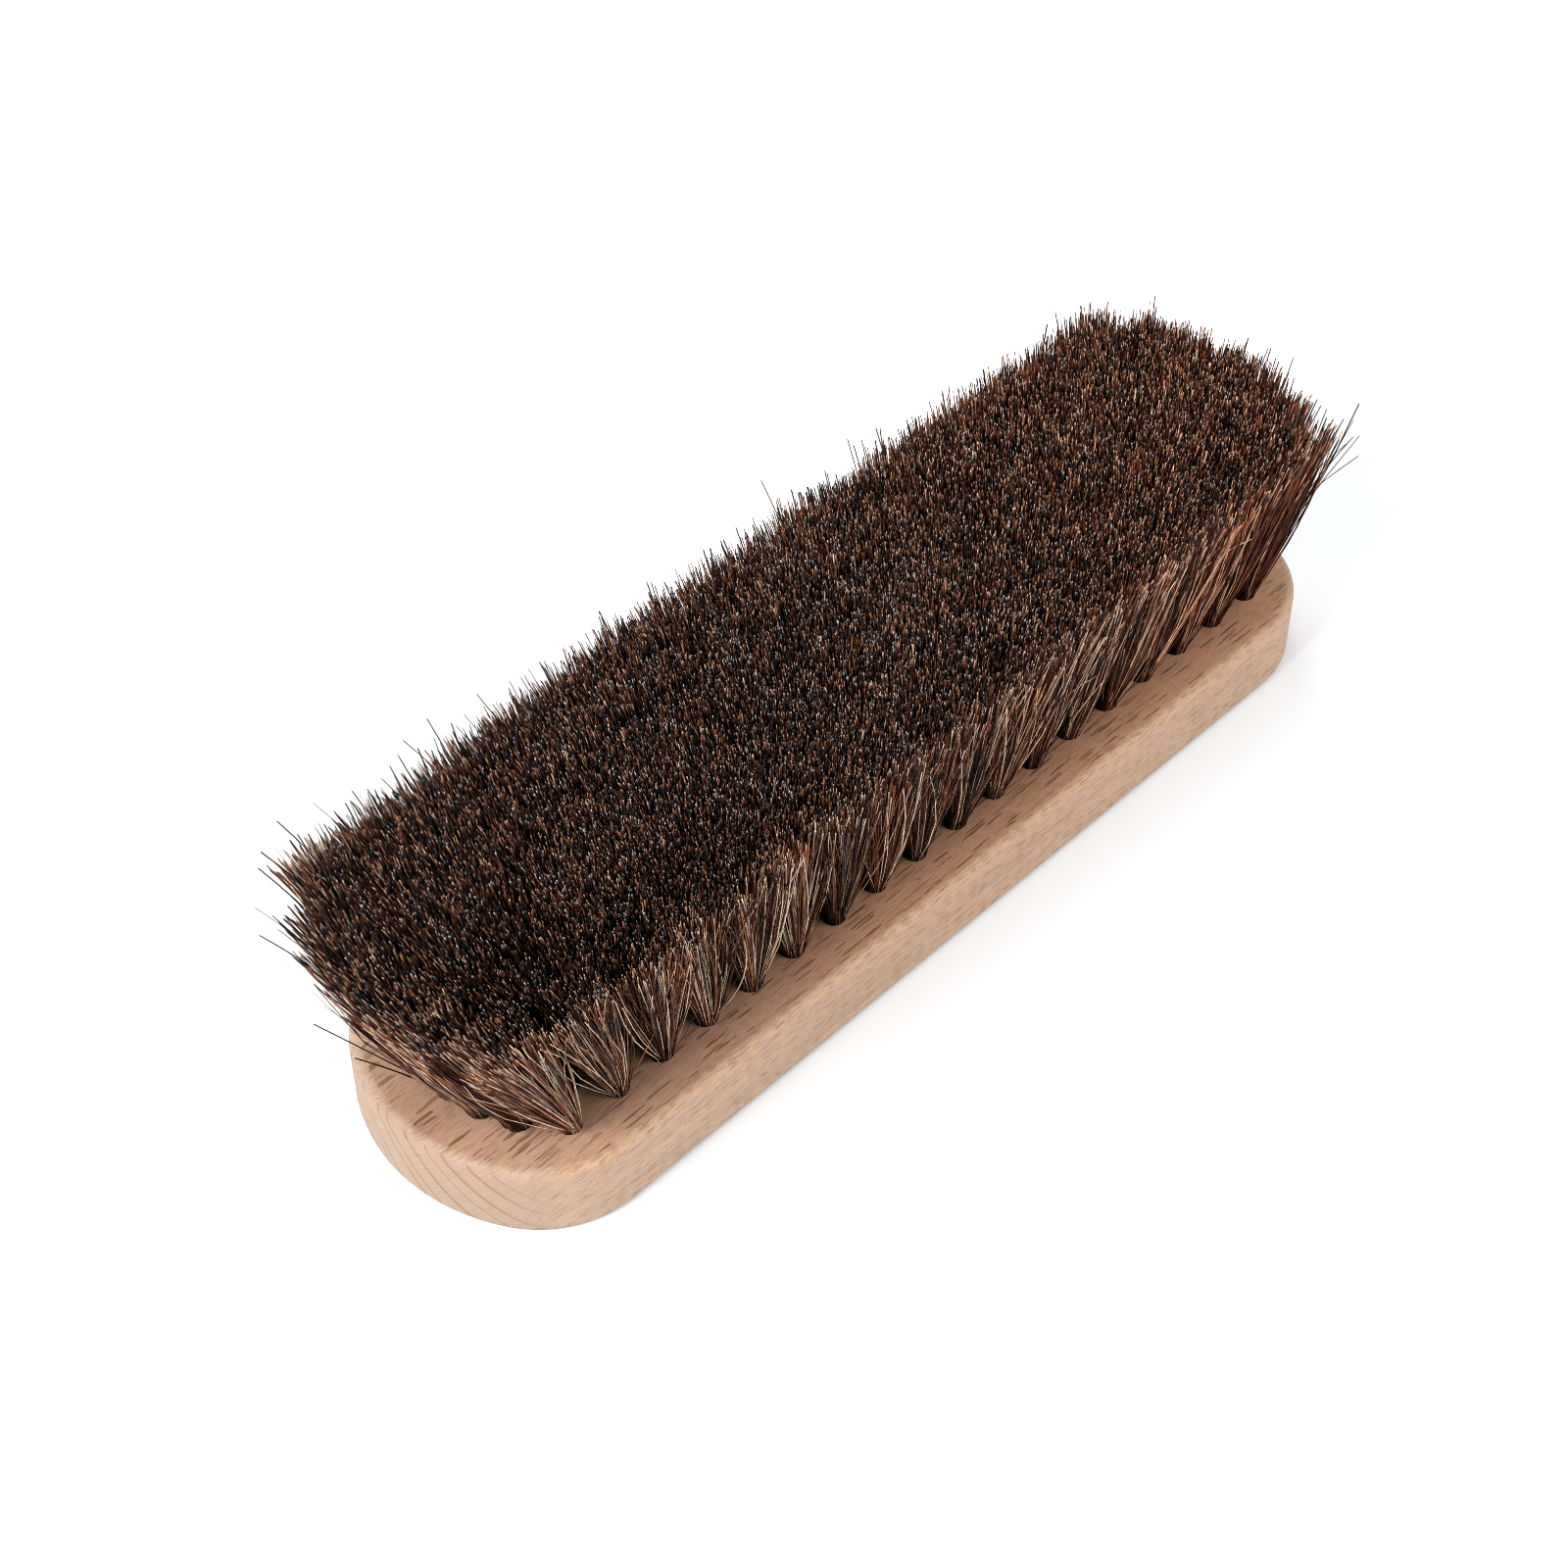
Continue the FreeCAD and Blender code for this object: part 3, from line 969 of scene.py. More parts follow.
def disc_to_square(points: np.ndarray) -> np.ndarray:
    """Spreads a disc evenly over a square.

    A point at the radius r is turned by quarters until its angle lies within an eighth turn of the x axis.
    There it goes to x = r and y = r times its angle over that eighth, and is turned back.

    Args:
        points: Rows of x, y in the unit disc.

    Returns:
        Rows of x, y in the square from -1 to 1.
    """
    radius = np.hypot(points[:, 0], points[:, 1])
    angle = np.arctan2(points[:, 1], points[:, 0])
    quarter = np.round(angle / (math.pi / 2.0)) * (math.pi / 2.0)
    offset = radius * (angle - quarter) / (math.pi / 4.0)
    cosine, sine = np.cos(quarter), np.sin(quarter)
    return np.stack([radius * cosine - offset * sine, radius * sine + offset * cosine], -1)


@dataclass(frozen=True)
class HairLine:
    """How finely the hairs of a tuft are drawn.

    Heights are shares of the hair height, below 0 in the hole, and the first one is the hair's pointed root.
    Thickness is a share of a hair's own radius at the heights after the root.
    """

    hairs: int
    radius: float
    heights: tuple[float, ...]
    thickness: tuple[float, ...]


@dataclass(frozen=True)
class Standing:
    """Where the hairs of one row stand among the others, with one entry per hair.

    Fields: tuft is the hair's tuft in the row, unit its place in the unit disc of its hole, ways the sides to
    which its tuft is open, outness its place along them, edge how far it shows on the outside, combed the
    same for the combed side alone, and fair how far it is painted fairer than the others, as painted light
    for its lit side.
    """

    tuft: np.ndarray
    unit: np.ndarray
    ways: np.ndarray
    outness: np.ndarray
    edge: np.ndarray
    combed: np.ndarray
    fair: np.ndarray

    @property
    def count(self) -> int:
        """How many hairs there are."""
        return len(self.tuft)

    @property
    def tufts(self) -> int:
        """How many tufts there are."""
        return int(self.tuft[-1]) + 1


@dataclass
class TuftRow:
    """One row of tufts, each a bunch of single hairs folded round its anchor.

    Shares are parts of the hair height, of a tuft's reach or of all hairs. A pair of shares, extras or girths
    gives the value for every hair and what is added for one on the outside or the combed side. A reach, a
    shift or a lean is along and across the block, a shell is where a hair begins to show and where it shows
    in full, the side splay is that of the near and the far half, and the bow that of tame and unruly hairs.
    The combed lean is a share of the way along the block from a place on it.
    """

    number: int
    rows: int
    face_height: float
    trim_height: float
    finish: HorsehairFinish
    material: bpy.types.Material
    side_line: HairLine = HairLine(740, 0.083 * MM, (-0.22, 0.03, 0.2, 0.45, 0.72, 1.0),
                                   (0.85, 0.95, 1.0, 1.0, 0.8))
    inner_line: HairLine = HairLine(720, 0.09 * MM, (-0.22, 0.1, 0.5, 1.0), (0.9, 1.0, 0.8))
    hole_radius: float = 1.62 * MM
    girth_spread: float = 0.18
    scatter: float = 0.03
    reach: tuple[float, float] = (4.6 * MM, 3.2 * MM)
    combed_fan_share: float = 0.3
    head_shift: tuple[float, float] = (-0.8 * MM, 1.9 * MM)
    head_lean: tuple[float, float] = (-0.022, 0.05)
    end_from: float = 52.0 * MM
    end_run: float = 16.0 * MM
    end_shift: float = -0.1 * MM
    near_lean: tuple[float, float] = (-0.24, 0.09)
    far_lean: tuple[float, float] = (0.06, -0.02)
    bulge: float = 0.05
    bulge_half: float = 78.0 * MM
    combed_row: int = 1
    combed_lean: tuple[float, float] = (0.023, -12.0 * MM)
    # Painted light: showing hairs on the combed side and at the left end get fairer tones for their lit
    # sides, and inner tones rise towards the right.
    lit_side_tone: float = 0.21
    left_lit_gain: float = 1.7
    fair_slope: float = 1.0
    inner_light_slope: float = 0.6
    near_end_shell: tuple[float, float] = (0.2, 0.75)
    far_end_shell: tuple[float, float] = (0.5, 0.95)
    side_shell: tuple[float, float] = (0.0, 0.6)
    end_splay: float = 1.5 * MM
    side_splay: tuple[float, float] = (1.5 * MM, 2.0 * MM)
    wander: float = 0.4 * MM
    blur: float = 0.7 * MM
    lock_count: int = 30
    lock_shares: tuple[float, float] = (0.3, 0.15)
    lock_tone_share: float = 0.12
    neck_share: float = 0.045
    unruly_shares: tuple[float, float] = (0.1, 0.35)
    unruly_spread: tuple[float, float] = (0.9, 1.5)
    bow: tuple[float, float] = (0.45 * MM, 0.8 * MM)
    tuft_unevenness: float = 0.12 * MM
    trim_depth: tuple[float, float] = (0.5 * MM, 0.8 * MM)
    tall_shares: tuple[float, float] = (0.03, 0.06)
    tall_extra: tuple[float, float] = (1.2 * MM, 2.0 * MM)
    tall_least_share: float = 0.2
    tall_girth: tuple[float, float] = (0.15, 0.2)
    tall_tone: float = 0.65
    # Painted shade: the tones of hemmed-in hairs are raised to this power.
    inner_shade_power: float = 1.5
    seed: int = 20

    @property
    def outer_row(self) -> bool:
        """Whether this is the first or the last row."""
        return self.number in (1, self.rows)

    @property
    def hair_height(self) -> float:
        """Height of the trimmed hair above the face."""
        return self.trim_height - self.face_height

    @property
    def line(self) -> HairLine:
        """The fineness of this row's hairs."""
        return self.side_line if self.outer_row else self.inner_line

    def places(self, tuft: np.ndarray, rng: np.random.Generator) -> np.ndarray:
        """Fills every hole evenly with hairs.

        Hair i of n stands i golden angles round at the radius sqrt((i + 1/2) / n), with a little scatter,
        and every hole has a turn of its own.

        Args:
            tuft: Each hair's tuft in the row.
            rng: Source of the random draws.

        Returns:
            The hairs' places as rows of x, y in the unit disc.
        """
        index = np.arange(len(tuft)) % self.line.hairs
        angle = index * GOLDEN_ANGLE + rng.uniform(0.0, 2.0 * math.pi, tuft[-1] + 1)[tuft]
        spoke = np.sqrt((index + 0.5) / self.line.hairs)
        unit = spoke[:, None] * np.stack([np.cos(angle), np.sin(angle)], -1)
        return unit + rng.normal(0.0, self.scatter, unit.shape)

    def open_ways(self, tuft: np.ndarray) -> np.ndarray:
        """Tells towards which sides of the brush the tufts are open.

        Args:
            tuft: Each hair's tuft in the row.

        Returns:
            A row per hair: -1, 0 or 1 along the block for the row's first tuft, the others and its last, and
            the same across the block for the tufts of the first and last row and for the end tufts of each
            half, because the rows' ends lie on an arc.
        """
        along = (tuft == tuft[-1]).astype(float) - (tuft == 0)
        half = np.sign(self.number - (self.rows + 1) / 2.0)
        outer = (along != 0.0) | self.outer_row
        return np.stack([along, np.where(outer, half, 0.0)], -1)

    def locks(self, tuft: np.ndarray, unit: np.ndarray,
              rng: np.random.Generator) -> tuple[np.ndarray, np.ndarray]:
        """Gathers the hairs of every tuft in locks.

        The locks' middles are strewn evenly over the unit disc, and a hair belongs to its tuft's nearest one.

        Args:
            tuft: Each hair's tuft in the row.
            unit: The hairs' places in the unit disc.
            rng: Source of the random draws.

        Returns:
            The middle of each hair's lock as rows of x, y, and a tone that the hairs of a lock share.
        """
        shape = (tuft[-1] + 1, self.lock_count)
        spoke = np.sqrt(rng.uniform(0.0, 1.0, shape))
        angle = rng.uniform(0.0, 2.0 * math.pi, shape)
        middle = spoke[..., None] * np.stack([np.cos(angle), np.sin(angle)], -1)
        nearest = np.argmin(np.linalg.norm(middle[tuft] - unit[:, None], axis=2), axis=1)
        return middle[tuft, nearest], rng.uniform(0.0, 1.0, shape)[tuft, nearest]

    def leans(self, mouths: np.ndarray) -> np.ndarray:
        """Works out how far the head of every tuft is pushed off its axis.

        The whole head is shifted, and by a share of the place on the block. Past the start of an end the
        push grows with the square of the way gone, up to shares of the distance from the middle line: the
        near half goes back at both ends and outwards at the left one, where the far half has shares of its
        own and every tuft a shift. The far half bulges by a share of that distance times
        1 - 2 (x / half length)^2.

        Args:
            mouths: The hole mouths as rows of x, y.

        Returns:
            The pushes as rows of x, y.
        """
        push = np.array(self.head_shift) + mouths * np.array(self.head_lean)
        along, across = mouths[:, :1], mouths[:, 1:]
        near, far = np.maximum(-across, 0.0), np.maximum(across, 0.0)
        past = np.clip((np.abs(along) - self.end_from) / self.end_run, 0.0, 1.0) ** 2
        left = past * (along < 0.0)
        push += left * (np.array([self.end_shift, 0.0]) + far * np.array(self.far_lean))
        push += np.concatenate([left, past], axis=1) * near * np.array(self.near_lean)
        push[:, 1:] += self.bulge * (1.0 - 2.0 * (along / self.bulge_half) ** 2) * far
        return push

    def standing(self, tufts: int, rng: np.random.Generator) -> Standing:
        """Works out where every hair of the row stands and how far it shows.

        A hair's outness is its place in the hole along a way in which the tuft is open, and it shows by a
        straight step from 0 to 1 through the tuft's outer shell.

        Args:
            tufts: How many tufts the row has.
            rng: Source of the random draws.

        Returns:
            The standing of the hairs, tuft by tuft.
        """
        tuft = np.repeat(np.arange(tufts), self.line.hairs)
        unit = self.places(tuft, rng)
        ways = self.open_ways(tuft)
        outness = np.where(ways != 0.0, ways * unit, -1.0)
        near_half = 2 * self.number < self.rows
        end_shell = self.near_end_shell if near_half else self.far_end_shell
        shell = np.array([end_shell, self.side_shell if self.outer_row else end_shell])
        shows = np.clip((outness - shell[:, 0]) / np.ptp(shell, axis=1), 0.0, 1.0)
        edge = shows.max(axis=1)
        combed = shows[:, 1] * (self.number == self.combed_row)
        # Painted light: the showing hairs at the left end are painted fairer, more so in the near half.
        left_fair = edge * (ways[:, 0] < 0.0) * (self.left_lit_gain if near_half else 1.0)
        return Standing(tuft, unit, ways, outness, edge, combed, np.maximum(combed, left_fair))

    def tip_places(self, hairs: Standing, lock: np.ndarray,
                   rng: np.random.Generator) -> tuple[np.ndarray, np.ndarray]:
        """Spreads the tips of every tuft over a square, gathered in locks.

        A tip goes a share of the way to the middle of its lock. The combed side fans out along the block, and
        the place of an unruly hair is multiplied by a random number.

        Args:
            hairs: Where the hairs stand.
            lock: The middle of each hair's lock.
            rng: Source of the random draws.

        Returns:
            The tips' places as rows of x, y, in shares of a tuft's reach, and which hairs are unruly.
        """
        gathered = self.lock_shares[0] + self.lock_shares[1] * hairs.combed
        spread = disc_to_square(hairs.unit + (lock - hairs.unit) * gathered[:, None])
        spread[:, 0] *= 1.0 + self.combed_fan_share * hairs.combed
        share = self.unruly_shares[0] + self.unruly_shares[1] * hairs.combed
        unruly = rng.uniform(0.0, 1.0, hairs.count) < share
        spread *= np.where(unruly, rng.uniform(*self.unruly_spread, hairs.count), 1.0)[:, None]
        return spread, unruly

    def tops(self, hairs: Standing, rng: np.random.Generator) -> tuple[np.ndarray, np.ndarray]:
        """Trims the hairs.

        A hair ends at the hair height plus its tuft's unevenness and a fixed depth, less an exponential
        random depth. A tall one is longer by a random part of one extra, and of another as far as it shows.

        Args:
            hairs: Where the hairs stand.
            rng: Source of the random draws.

        Returns:
            The tips' heights above the face, and which hairs are tall.
        """
        tall = rng.uniform(0.0, 1.0, hairs.count) < self.tall_shares[0] + self.tall_shares[1] * hairs.edge
        extra = self.tall_extra[0] * rng.uniform(self.tall_least_share, 1.0, hairs.count)
        extra += self.tall_extra[1] * hairs.edge * rng.uniform(0.0, 1.0, hairs.count)
        uneven = rng.normal(0.0, self.tuft_unevenness, hairs.tufts)
        top = self.hair_height + uneven[hairs.tuft] + self.trim_depth[0]
        top += np.where(tall, extra, 0.0) - rng.exponential(self.trim_depth[1], hairs.count)
        return top, tall

    def tip_ways(self, hairs: Standing, mouths: np.ndarray, spread: np.ndarray,
                 rng: np.random.Generator) -> np.ndarray:
        """Works out how far every hair flares from its place in the hole up to its tip.

        The way is the tip's place times the reach less the place in the hole, plus a blur, the tuft's wander
        and lean and the lean of the combed side. Outer hairs also splay outwards by their outness times the
        square of a random number.

        Args:
            hairs: Where the hairs stand.
            mouths: The hole mouths as rows of x, y.
            spread: The tips' places in shares of the reach.
            rng: Source of the random draws.

        Returns:
            The ways as rows of x, y.
        """
        way = spread * np.array(self.reach) - hairs.unit * self.hole_radius
        way += rng.normal(0.0, self.blur, way.shape)
        wander = rng.normal(0.0, self.wander, mouths.shape)
        way += (wander + self.leans(mouths))[hairs.tuft]
        way[:, 0] += self.combed_lean[0] * hairs.combed * (mouths[hairs.tuft, 0] - self.combed_lean[1])
        splay = np.array([self.end_splay, self.side_splay[int(2 * self.number > self.rows)]])
        outwards = hairs.ways * np.clip(hairs.outness, 0.0, None) * splay
        return way + outwards * rng.uniform(0.0, 1.0, (hairs.count, 1)) ** 2

    def centre_lines(self, hairs: Standing, mouths: np.ndarray, slopes: np.ndarray, top: np.ndarray,
                     way: np.ndarray, bow: np.ndarray) -> np.ndarray:
        """Carries every hair from its root to its tip.

        At a height w, as a share of the hair height, a hair stands on the tuft's axis plus its place in the
        hole, plus a flare that is level at the face and then nearly straight, (sqrt(w^2 + c^2) - c) scaled
        to 1 at the tip, times the way to its own tip, plus a bow of sin(pi w).

        Args:
            hairs: Where the hairs stand.
            mouths: The hole mouths as rows of x, y.
            slopes: The slopes of the holes' axes as rows of dx/dz, dy/dz.
            top: The tips' heights above the face.
            way: How far the hairs flare, as rows of x, y.
            bow: How far the hairs bow, as rows of x, y.

        Returns:
            Points of the shape (hairs, stations, 3).
        """
        share = np.array(self.line.heights)
        rise = np.clip(share, 0.0, None)
        neck = self.neck_share
        flare = (np.sqrt(rise**2 + neck**2) - neck) / (math.sqrt(1.0 + neck**2) - neck)
        sway = np.sin(math.pi * rise)
        lift = np.where(share < 0.0, share * self.hair_height, share * top[:, None])
        ground = mouths[hairs.tuft] + hairs.unit * self.hole_radius
        level = (ground[:, None] + slopes[hairs.tuft][:, None] * lift[..., None]
                 + way[:, None] * flare[:, None] + bow[:, None] * sway[:, None])
        return np.concatenate([level, self.face_height + lift[..., None]], axis=2)

    def tones(self, hairs: Standing, lock_tone: np.ndarray, tall: np.ndarray, along: np.ndarray,
              rng: np.random.Generator) -> np.ndarray:
        """Picks the tone of every hair.

        A tone is that of the lock for a share of the hairs and a random number of its own for the others,
        raised to a power that darkens hemmed-in hairs as painted shade. A tall hair that shows is darker, and
        others are painted fairer on the fair sides, as painted light for their lit sides. Along the block
        inner tones rise a little towards the right, as painted light, and combed ones fall.

        Args:
            hairs: Where the hairs stand.
            lock_tone: The tone of each hair's lock.
            tall: Which hairs are tall.
            along: The place of each hair's tuft along the block.
            rng: Source of the random draws.

        Returns:
            The tones, from 0 to 1.
        """
        shared = rng.uniform(0.0, 1.0, hairs.count) < self.lock_tone_share
        tone = np.where(shared, lock_tone, rng.uniform(0.0, 1.0, hairs.count))
        # Painted shade: hemmed-in hairs get darker tones.
        tone **= self.inner_shade_power + (1.0 - self.inner_shade_power) * hairs.edge
        darker = tone * (1.0 - hairs.edge * (1.0 - self.tall_tone))
        # Painted light: showing hairs on the fair sides get fairer tones for their lit sides.
        tone = np.where(tall, darker, tone + self.lit_side_tone * hairs.fair)
        # Painted light along the block: inner tones rise towards the right.
        tone += along * (self.inner_light_slope * (1.0 - hairs.edge) - self.fair_slope * hairs.combed)
        return np.clip(tone, 0.0, 1.0)

    def paths(self, rng: np.random.Generator) -> tuple[Strands, np.ndarray]:
        """Works out the row's hairs, with a random girth that is larger for tall hairs.

        Args:
            rng: Source of the random draws.

        Returns:
            The hairs of all the row's tufts, and each hair's tuft.
        """
        mouths, slopes = AnchorRow(self.number).mouths(self.face_height)
        hairs = self.standing(len(mouths), rng)
        lock, lock_tone = self.locks(hairs.tuft, hairs.unit, rng)
        spread, unruly = self.tip_places(hairs, lock, rng)
        top, tall = self.tops(hairs, rng)
        way = self.tip_ways(hairs, mouths, spread, rng)
        bow = rng.normal(0.0, 1.0, way.shape) * np.where(unruly, *self.bow[::-1])[:, None]
        points = self.centre_lines(hairs, mouths, slopes, top, way, bow)
        girth = self.line.radius * np.exp(rng.normal(0.0, self.girth_spread, hairs.count))
        girth *= 1.0 + tall * (self.tall_girth[0] + self.tall_girth[1] * hairs.edge)
        radius = girth[:, None] * np.array(self.line.thickness)
        tone = self.tones(hairs, lock_tone, tall, mouths[hairs.tuft, 0], rng)
        share = np.array(self.line.heights)
        along = (share - share[0]) / np.ptp(share)
        return Strands(points, radius, tone, 1.0 - hairs.edge, along), hairs.tuft

    def build(self) -> None:
        """Makes the row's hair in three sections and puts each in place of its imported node."""
        rng = np.random.default_rng(self.seed + self.number)
        strands, tuft = self.paths(rng)
        tufts = int(tuft.max()) + 1
        for place, section in enumerate(Section):
            first, after = (round(tufts * step / len(Section)) for step in (place, place + 1))
            part = strands.part((tuft >= first) & (tuft < after))
            name = f"hair_row_{self.number}_{section.value}"
            piece = place_hair(name, HairSkin(part, rng).mesh(name, self.finish), self.material)
            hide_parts(f"tufts_row_{self.number}_{section.value}")
            log.info("%s: %d hairs", name, len(part.tone))


@dataclass(frozen=True)
class StrayHair:
    """One hair that stands away from its tuft, by its foot, a point halfway and its tip in millimetres."""

    foot: tuple[float, float, float]
    halfway: tuple[float, float, float]
    tip: tuple[float, float, float]
    tone: float
    radius: float = 0.1


@dataclass
class StrayHairs:
    """The single hairs that stand away from the tufts, each rooted in one of them."""

    finish: HorsehairFinish
    material: bpy.types.Material
    stations: int = 10
    neck_along: float = 0.3
    tip_share: float = 0.75
    seed: int = 7
    hairs: tuple[StrayHair, ...] = (
        StrayHair((-44.8, -15.8, 12.0), (-43.2, -20.0, 21.5), (-43.6, -21.0, 30.6), 0.985, 0.13),
        StrayHair((-60.4, -16.0, 12.0), (-57.1, -19.0, 24.2), (-53.5, -21.0, 35.0), 0.88),
        StrayHair((28.9, -15.6, 12.0), (26.8, -18.8, 26.5), (27.8, -20.5, 37.6), 0.985, 0.12),
        StrayHair((28.3, -15.4, 12.0), (25.6, -18.4, 26.0), (26.6, -20.6, 38.4), 0.96, 0.11),
        StrayHair((27.9, -15.7, 12.0), (25.6, -19.0, 25.0), (28.1, -21.0, 33.1), 0.99, 0.12),
        StrayHair((27.6, -16.0, 12.0), (24.4, -19.3, 20.8), (26.8, -22.0, 28.1), 0.975, 0.11),
        StrayHair((13.0, -15.6, 12.0), (17.0, -19.6, 26.0), (25.6, -21.5, 29.4), 0.965, 0.11),
        StrayHair((37.5, -15.4, 12.0), (45.6, -19.4, 30.0), (60.6, -21.0, 32.1), 1.0, 0.12),
        StrayHair((45.6, -15.4, 12.0), (51.0, -18.6, 26.0), (62.0, -20.6, 36.0), 0.97, 0.11),
        StrayHair((70.2, -14.6, 12.0), (76.6, -17.4, 25.5), (84.5, -20.6, 36.5), 0.35),
        StrayHair((74.2, -9.6, 12.0), (81.8, -12.4, 21.0), (91.0, -15.8, 28.6), 0.42),
        StrayHair((74.0, -9.9, 12.0), (82.4, -13.2, 19.8), (92.8, -17.2, 26.0), 0.30),
        StrayHair((-77.9, 4.6, 12.0), (-83.2, 6.4, 20.0), (-89.6, 8.6, 29.5), 0.2, 0.13),
        StrayHair((-78.3, 4.4, 12.0), (-82.4, 4.8, 17.6), (-87.1, 4.6, 24.0), 0.15, 0.13),
        StrayHair((-78.4, 4.4, 12.0), (-81.6, 5.4, 16.2), (-84.2, 6.2, 20.0), 0.97, 0.07),
        StrayHair((-74.2, 10.4, 12.0), (-80.6, 15.6, 24.0), (-87.5, 20.6, 35.0), 0.12, 0.13),
        StrayHair((-73.9, 10.6, 12.0), (-79.4, 16.8, 25.0), (-85.7, 23.6, 36.5), 0.80, 0.07),
        StrayHair((-73.6, 10.2, 12.0), (-77.0, 18.8, 26.0), (-81.6, 27.6, 37.5), 0.12, 0.13),
        StrayHair((-69.9, 15.4, 12.0), (-74.2, 21.6, 26.0), (-80.1, 28.7, 38.5), 0.1, 0.14),
        StrayHair((-69.5, 15.6, 12.0), (-71.6, 23.2, 27.0), (-75.5, 31.0, 39.0), 0.15, 0.13),
        StrayHair((-61.6, 15.4, 12.0), (-65.4, 21.8, 27.0), (-71.0, 28.9, 40.5), 0.45, 0.08),
        StrayHair((-45.2, 15.4, 12.0), (-49.6, 21.8, 27.0), (-55.6, 29.2, 40.5), 0.25),
        StrayHair((-37.0, 15.4, 12.0), (-39.6, 21.6, 27.0), (-43.8, 27.8, 41.5), 0.30),
        StrayHair((12.4, 15.4, 12.0), (12.6, 21.6, 28.0), (10.4, 28.2, 45.0), 0.35),
    )

    def paths(self) -> Strands:
        """Works out the centre lines.

        A hair is the parabola through its three points: at a share w of its length the foot counts
        (1 - w)(1 - 2w), the point halfway 4 w (1 - w) and the tip w (2w - 1).

        Returns:
            The stray hairs, none of them hemmed in.
        """
        chosen = np.array([(hair.foot, hair.halfway, hair.tip) for hair in self.hairs]) * MM
        share = np.linspace(0.0, 1.0, self.stations)
        weights = np.stack([(1.0 - share) * (1.0 - 2.0 * share), 4.0 * share * (1.0 - share),
                            share * (2.0 * share - 1.0)], -1)
        points = np.einsum("sk,hkc->hsc", weights, chosen)
        girth = np.array([hair.radius for hair in self.hairs])[:, None] * MM
        radius = girth * np.linspace(1.0, self.tip_share, self.stations)[1:]
        tone = np.array([hair.tone for hair in self.hairs])
        along = self.neck_along + (1.0 - self.neck_along) * share
        return Strands(points, radius, tone, np.zeros(len(tone)), along)

    def build(self) -> None:
        """Makes the stray hairs as one piece."""
        name = "hair_strays"
        mesh = HairSkin(self.paths(), np.random.default_rng(self.seed)).mesh(name, self.finish)
        place_hair(name, mesh, self.material)
        log.info("%s: %d hairs", name, len(self.hairs))


@dataclass
class Brush:
    """The whole brush: block, anchors, rows of tufts and stray hairs."""

    rows: int = 7

    def build(self) -> None:
        """Builds and dresses every piece."""
        block = Block()
        block.build()
        wire = WireFinish().material()
        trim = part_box(f"tufts_row_1_{Section.MIDDLE.value}")[1].z
        finish = HorsehairFinish(trim / MM)
        hair = finish.material()
        for number in range(1, self.rows + 1):
            AnchorRow(number).build(wire)
            TuftRow(number, self.rows, block.face_height, trim, finish, hair).build()
        StrayHairs(finish, hair).build()


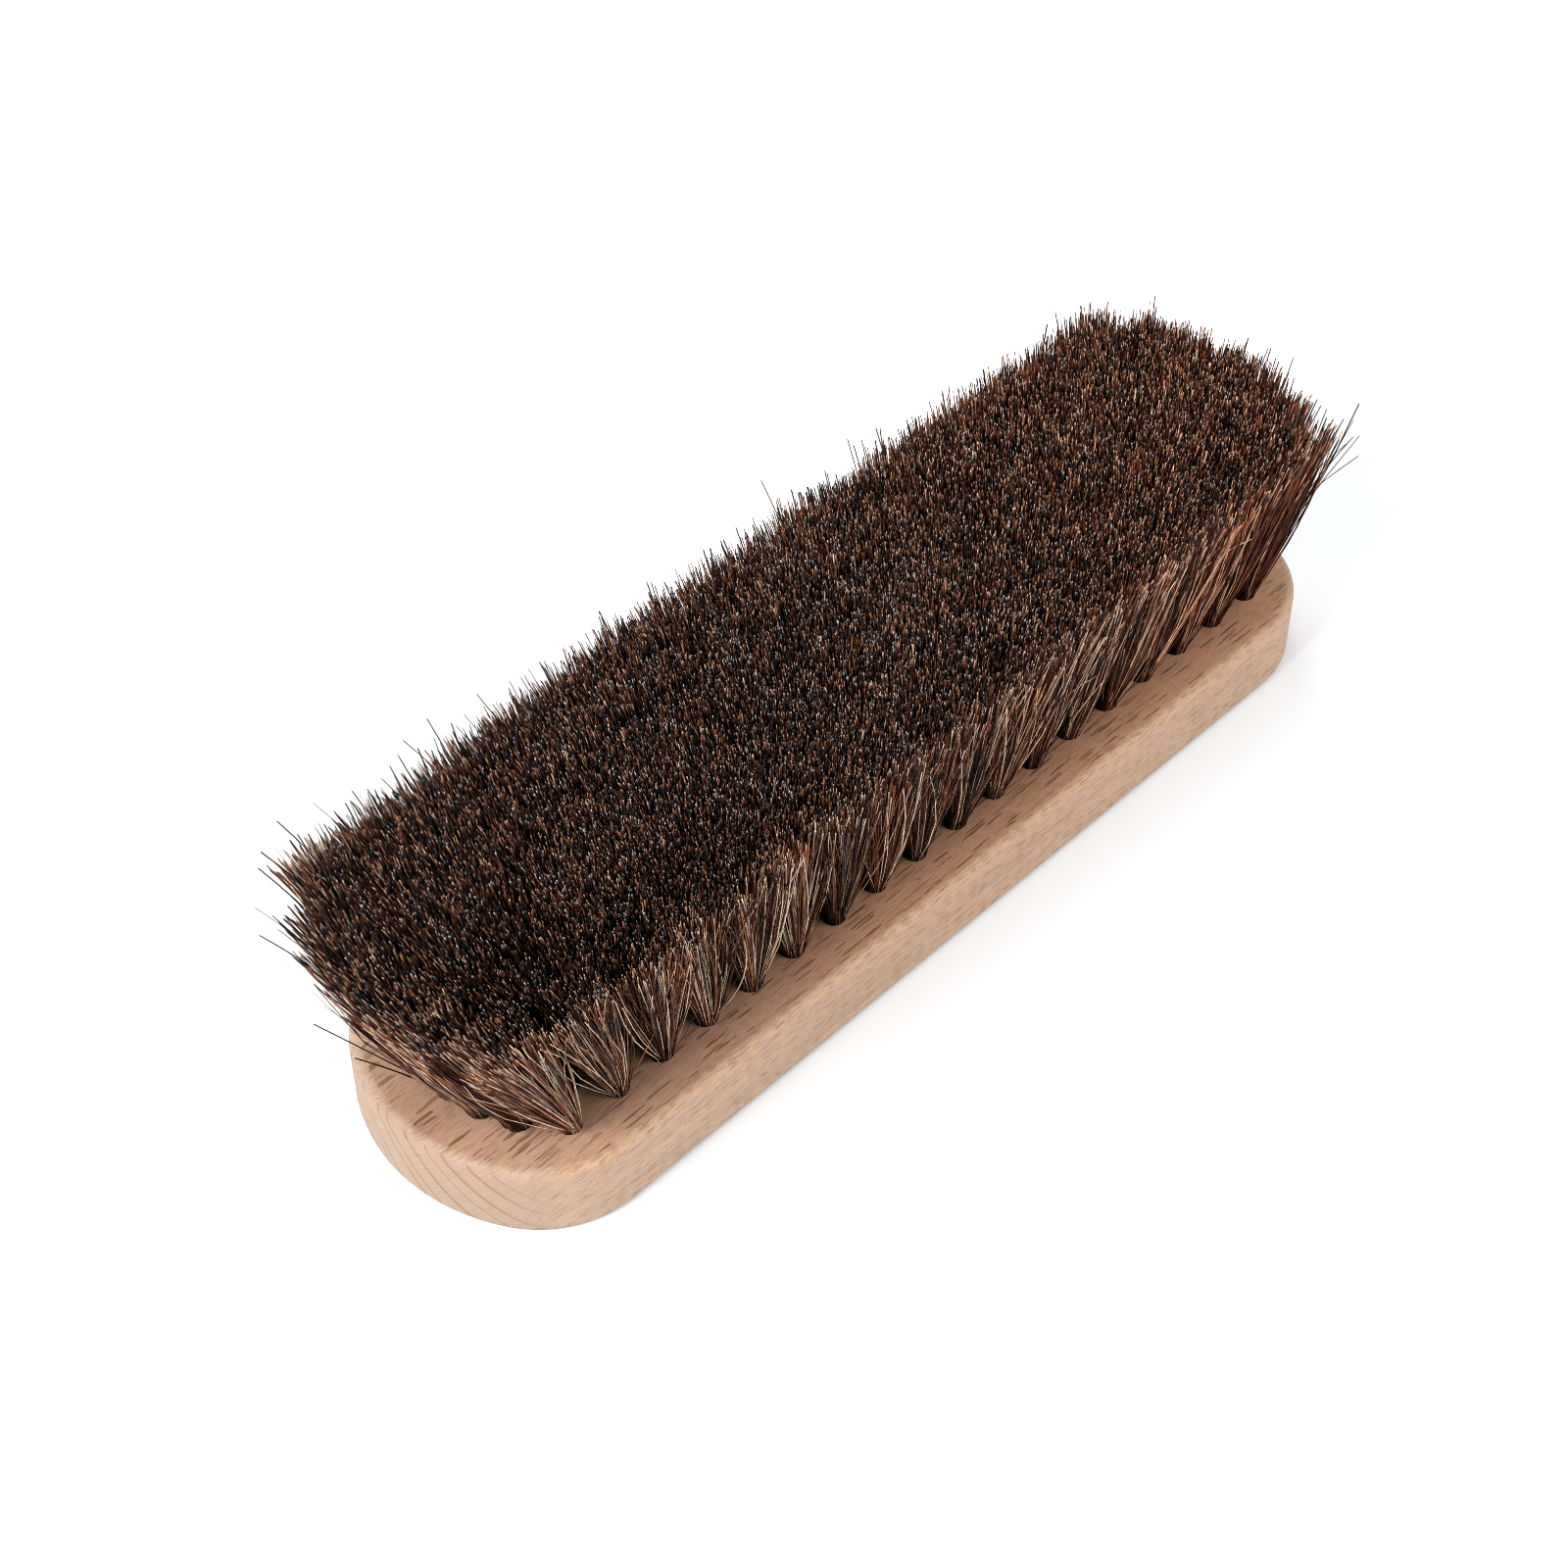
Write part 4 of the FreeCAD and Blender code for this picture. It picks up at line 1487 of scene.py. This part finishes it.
@dataclass(frozen=True)
class PhotoCamera:
    """The camera at the photograph's angle. Angles are in degrees, and azimuth 0 looks along +Y."""

    azimuth: float = -46.128
    elevation: float = 45.684
    roll: float = -0.125
    distance: float = 447.88 * MM
    target: tuple[float, float, float] = (1.417 * MM, 15.208 * MM, 0.0)
    focal_pixels: float = 3111.34
    image_pixels: float = 1600.0
    sensor_width: float = 36.0
    clip: tuple[float, float] = (10.0 * MM, 10.0)
    filter_pixels: float = 0.9

    def build(self) -> None:
        """Makes the camera and sets it as the scene's own."""
        data = bpy.data.cameras.new("photo_camera")
        data.sensor_width = self.sensor_width
        data.lens = self.focal_pixels / self.image_pixels * self.sensor_width
        data.clip_start, data.clip_end = self.clip
        azimuth, elevation, roll = (math.radians(a) for a in (self.azimuth, self.elevation, self.roll))
        level = math.cos(elevation)
        back = Vector((math.sin(azimuth) * level, -math.cos(azimuth) * level, math.sin(elevation)))
        right = (-back).cross(Vector((0.0, 0.0, 1.0))).normalized()
        up = right.cross(-back)
        turned = right * math.cos(roll) + up * math.sin(roll)
        up = up * math.cos(roll) - right * math.sin(roll)
        camera = bpy.data.objects.new("photo_camera", data)
        place = Matrix((turned, up, back)).transposed().to_4x4()
        place.translation = Vector(self.target) + back * self.distance
        camera.matrix_world = place
        bpy.context.scene.collection.objects.link(camera)
        bpy.context.scene.camera = camera
        bpy.context.scene.cycles.filter_width = self.filter_pixels


@dataclass(frozen=True)
class SoftLight:
    """One large square lamp that looks at the brush."""

    name: str
    place: tuple[float, float, float]
    side: float
    watts: float

    def build(self) -> None:
        """Makes the lamp."""
        data = bpy.data.lights.new(self.name, "AREA")
        data.shape = "SQUARE"
        data.size = self.side
        data.energy = self.watts
        lamp = bpy.data.objects.new(self.name, data)
        lamp.location = self.place
        lamp.rotation_mode = "QUATERNION"
        lamp.rotation_quaternion = (-Vector(self.place)).to_track_quat("-Z", "Y")
        bpy.context.scene.collection.objects.link(lamp)


@dataclass(frozen=True)
class Studio:
    """Pale floor, white surroundings and soft lamps."""

    floor_side: float = 8.0
    sky_strength: float = 0.42
    lamps: tuple[SoftLight, ...] = (
        SoftLight("left_lamp", (-0.95, 0.1, 0.65), 0.5, 15.5),
        SoftLight("front_lamp", (0.25, -0.95, 0.6), 0.8, 10.0),
        SoftLight("back_lamp", (0.3, 0.8, 0.95), 0.7, 7.5),
    )

    def build_floor(self) -> None:
        """Makes the floor, a level square."""
        half = self.floor_side / 2.0
        mesh = bpy.data.meshes.new("floor")
        mesh.from_pydata([(-half, -half, 0.0), (half, -half, 0.0), (half, half, 0.0), (-half, half, 0.0)],
                         [], [(0, 1, 2, 3)])
        mesh.materials.append(FloorFinish().material())
        floor = bpy.data.objects.new("floor", mesh)
        bpy.context.scene.collection.objects.link(floor)

    def build(self) -> None:
        """Makes the floor, the surroundings and the lamps."""
        self.build_floor()
        world = bpy.data.worlds.new("white_surroundings")
        world.use_nodes = True
        sky = world.node_tree.nodes["Background"]
        sky.inputs["Color"].default_value = opaque(WHITE)
        sky.inputs["Strength"].default_value = self.sky_strength
        scene = bpy.context.scene
        scene.world = world
        scene.view_settings.view_transform = "Standard"
        for lamp in self.lamps:
            lamp.build()


def main() -> None:
    """Builds the brush, the studio and the camera."""
    logging.basicConfig(level=logging.INFO, format="%(name)s: %(message)s")
    Brush().build()
    Studio().build()
    PhotoCamera().build()


if __name__ == "__main__":
    main()
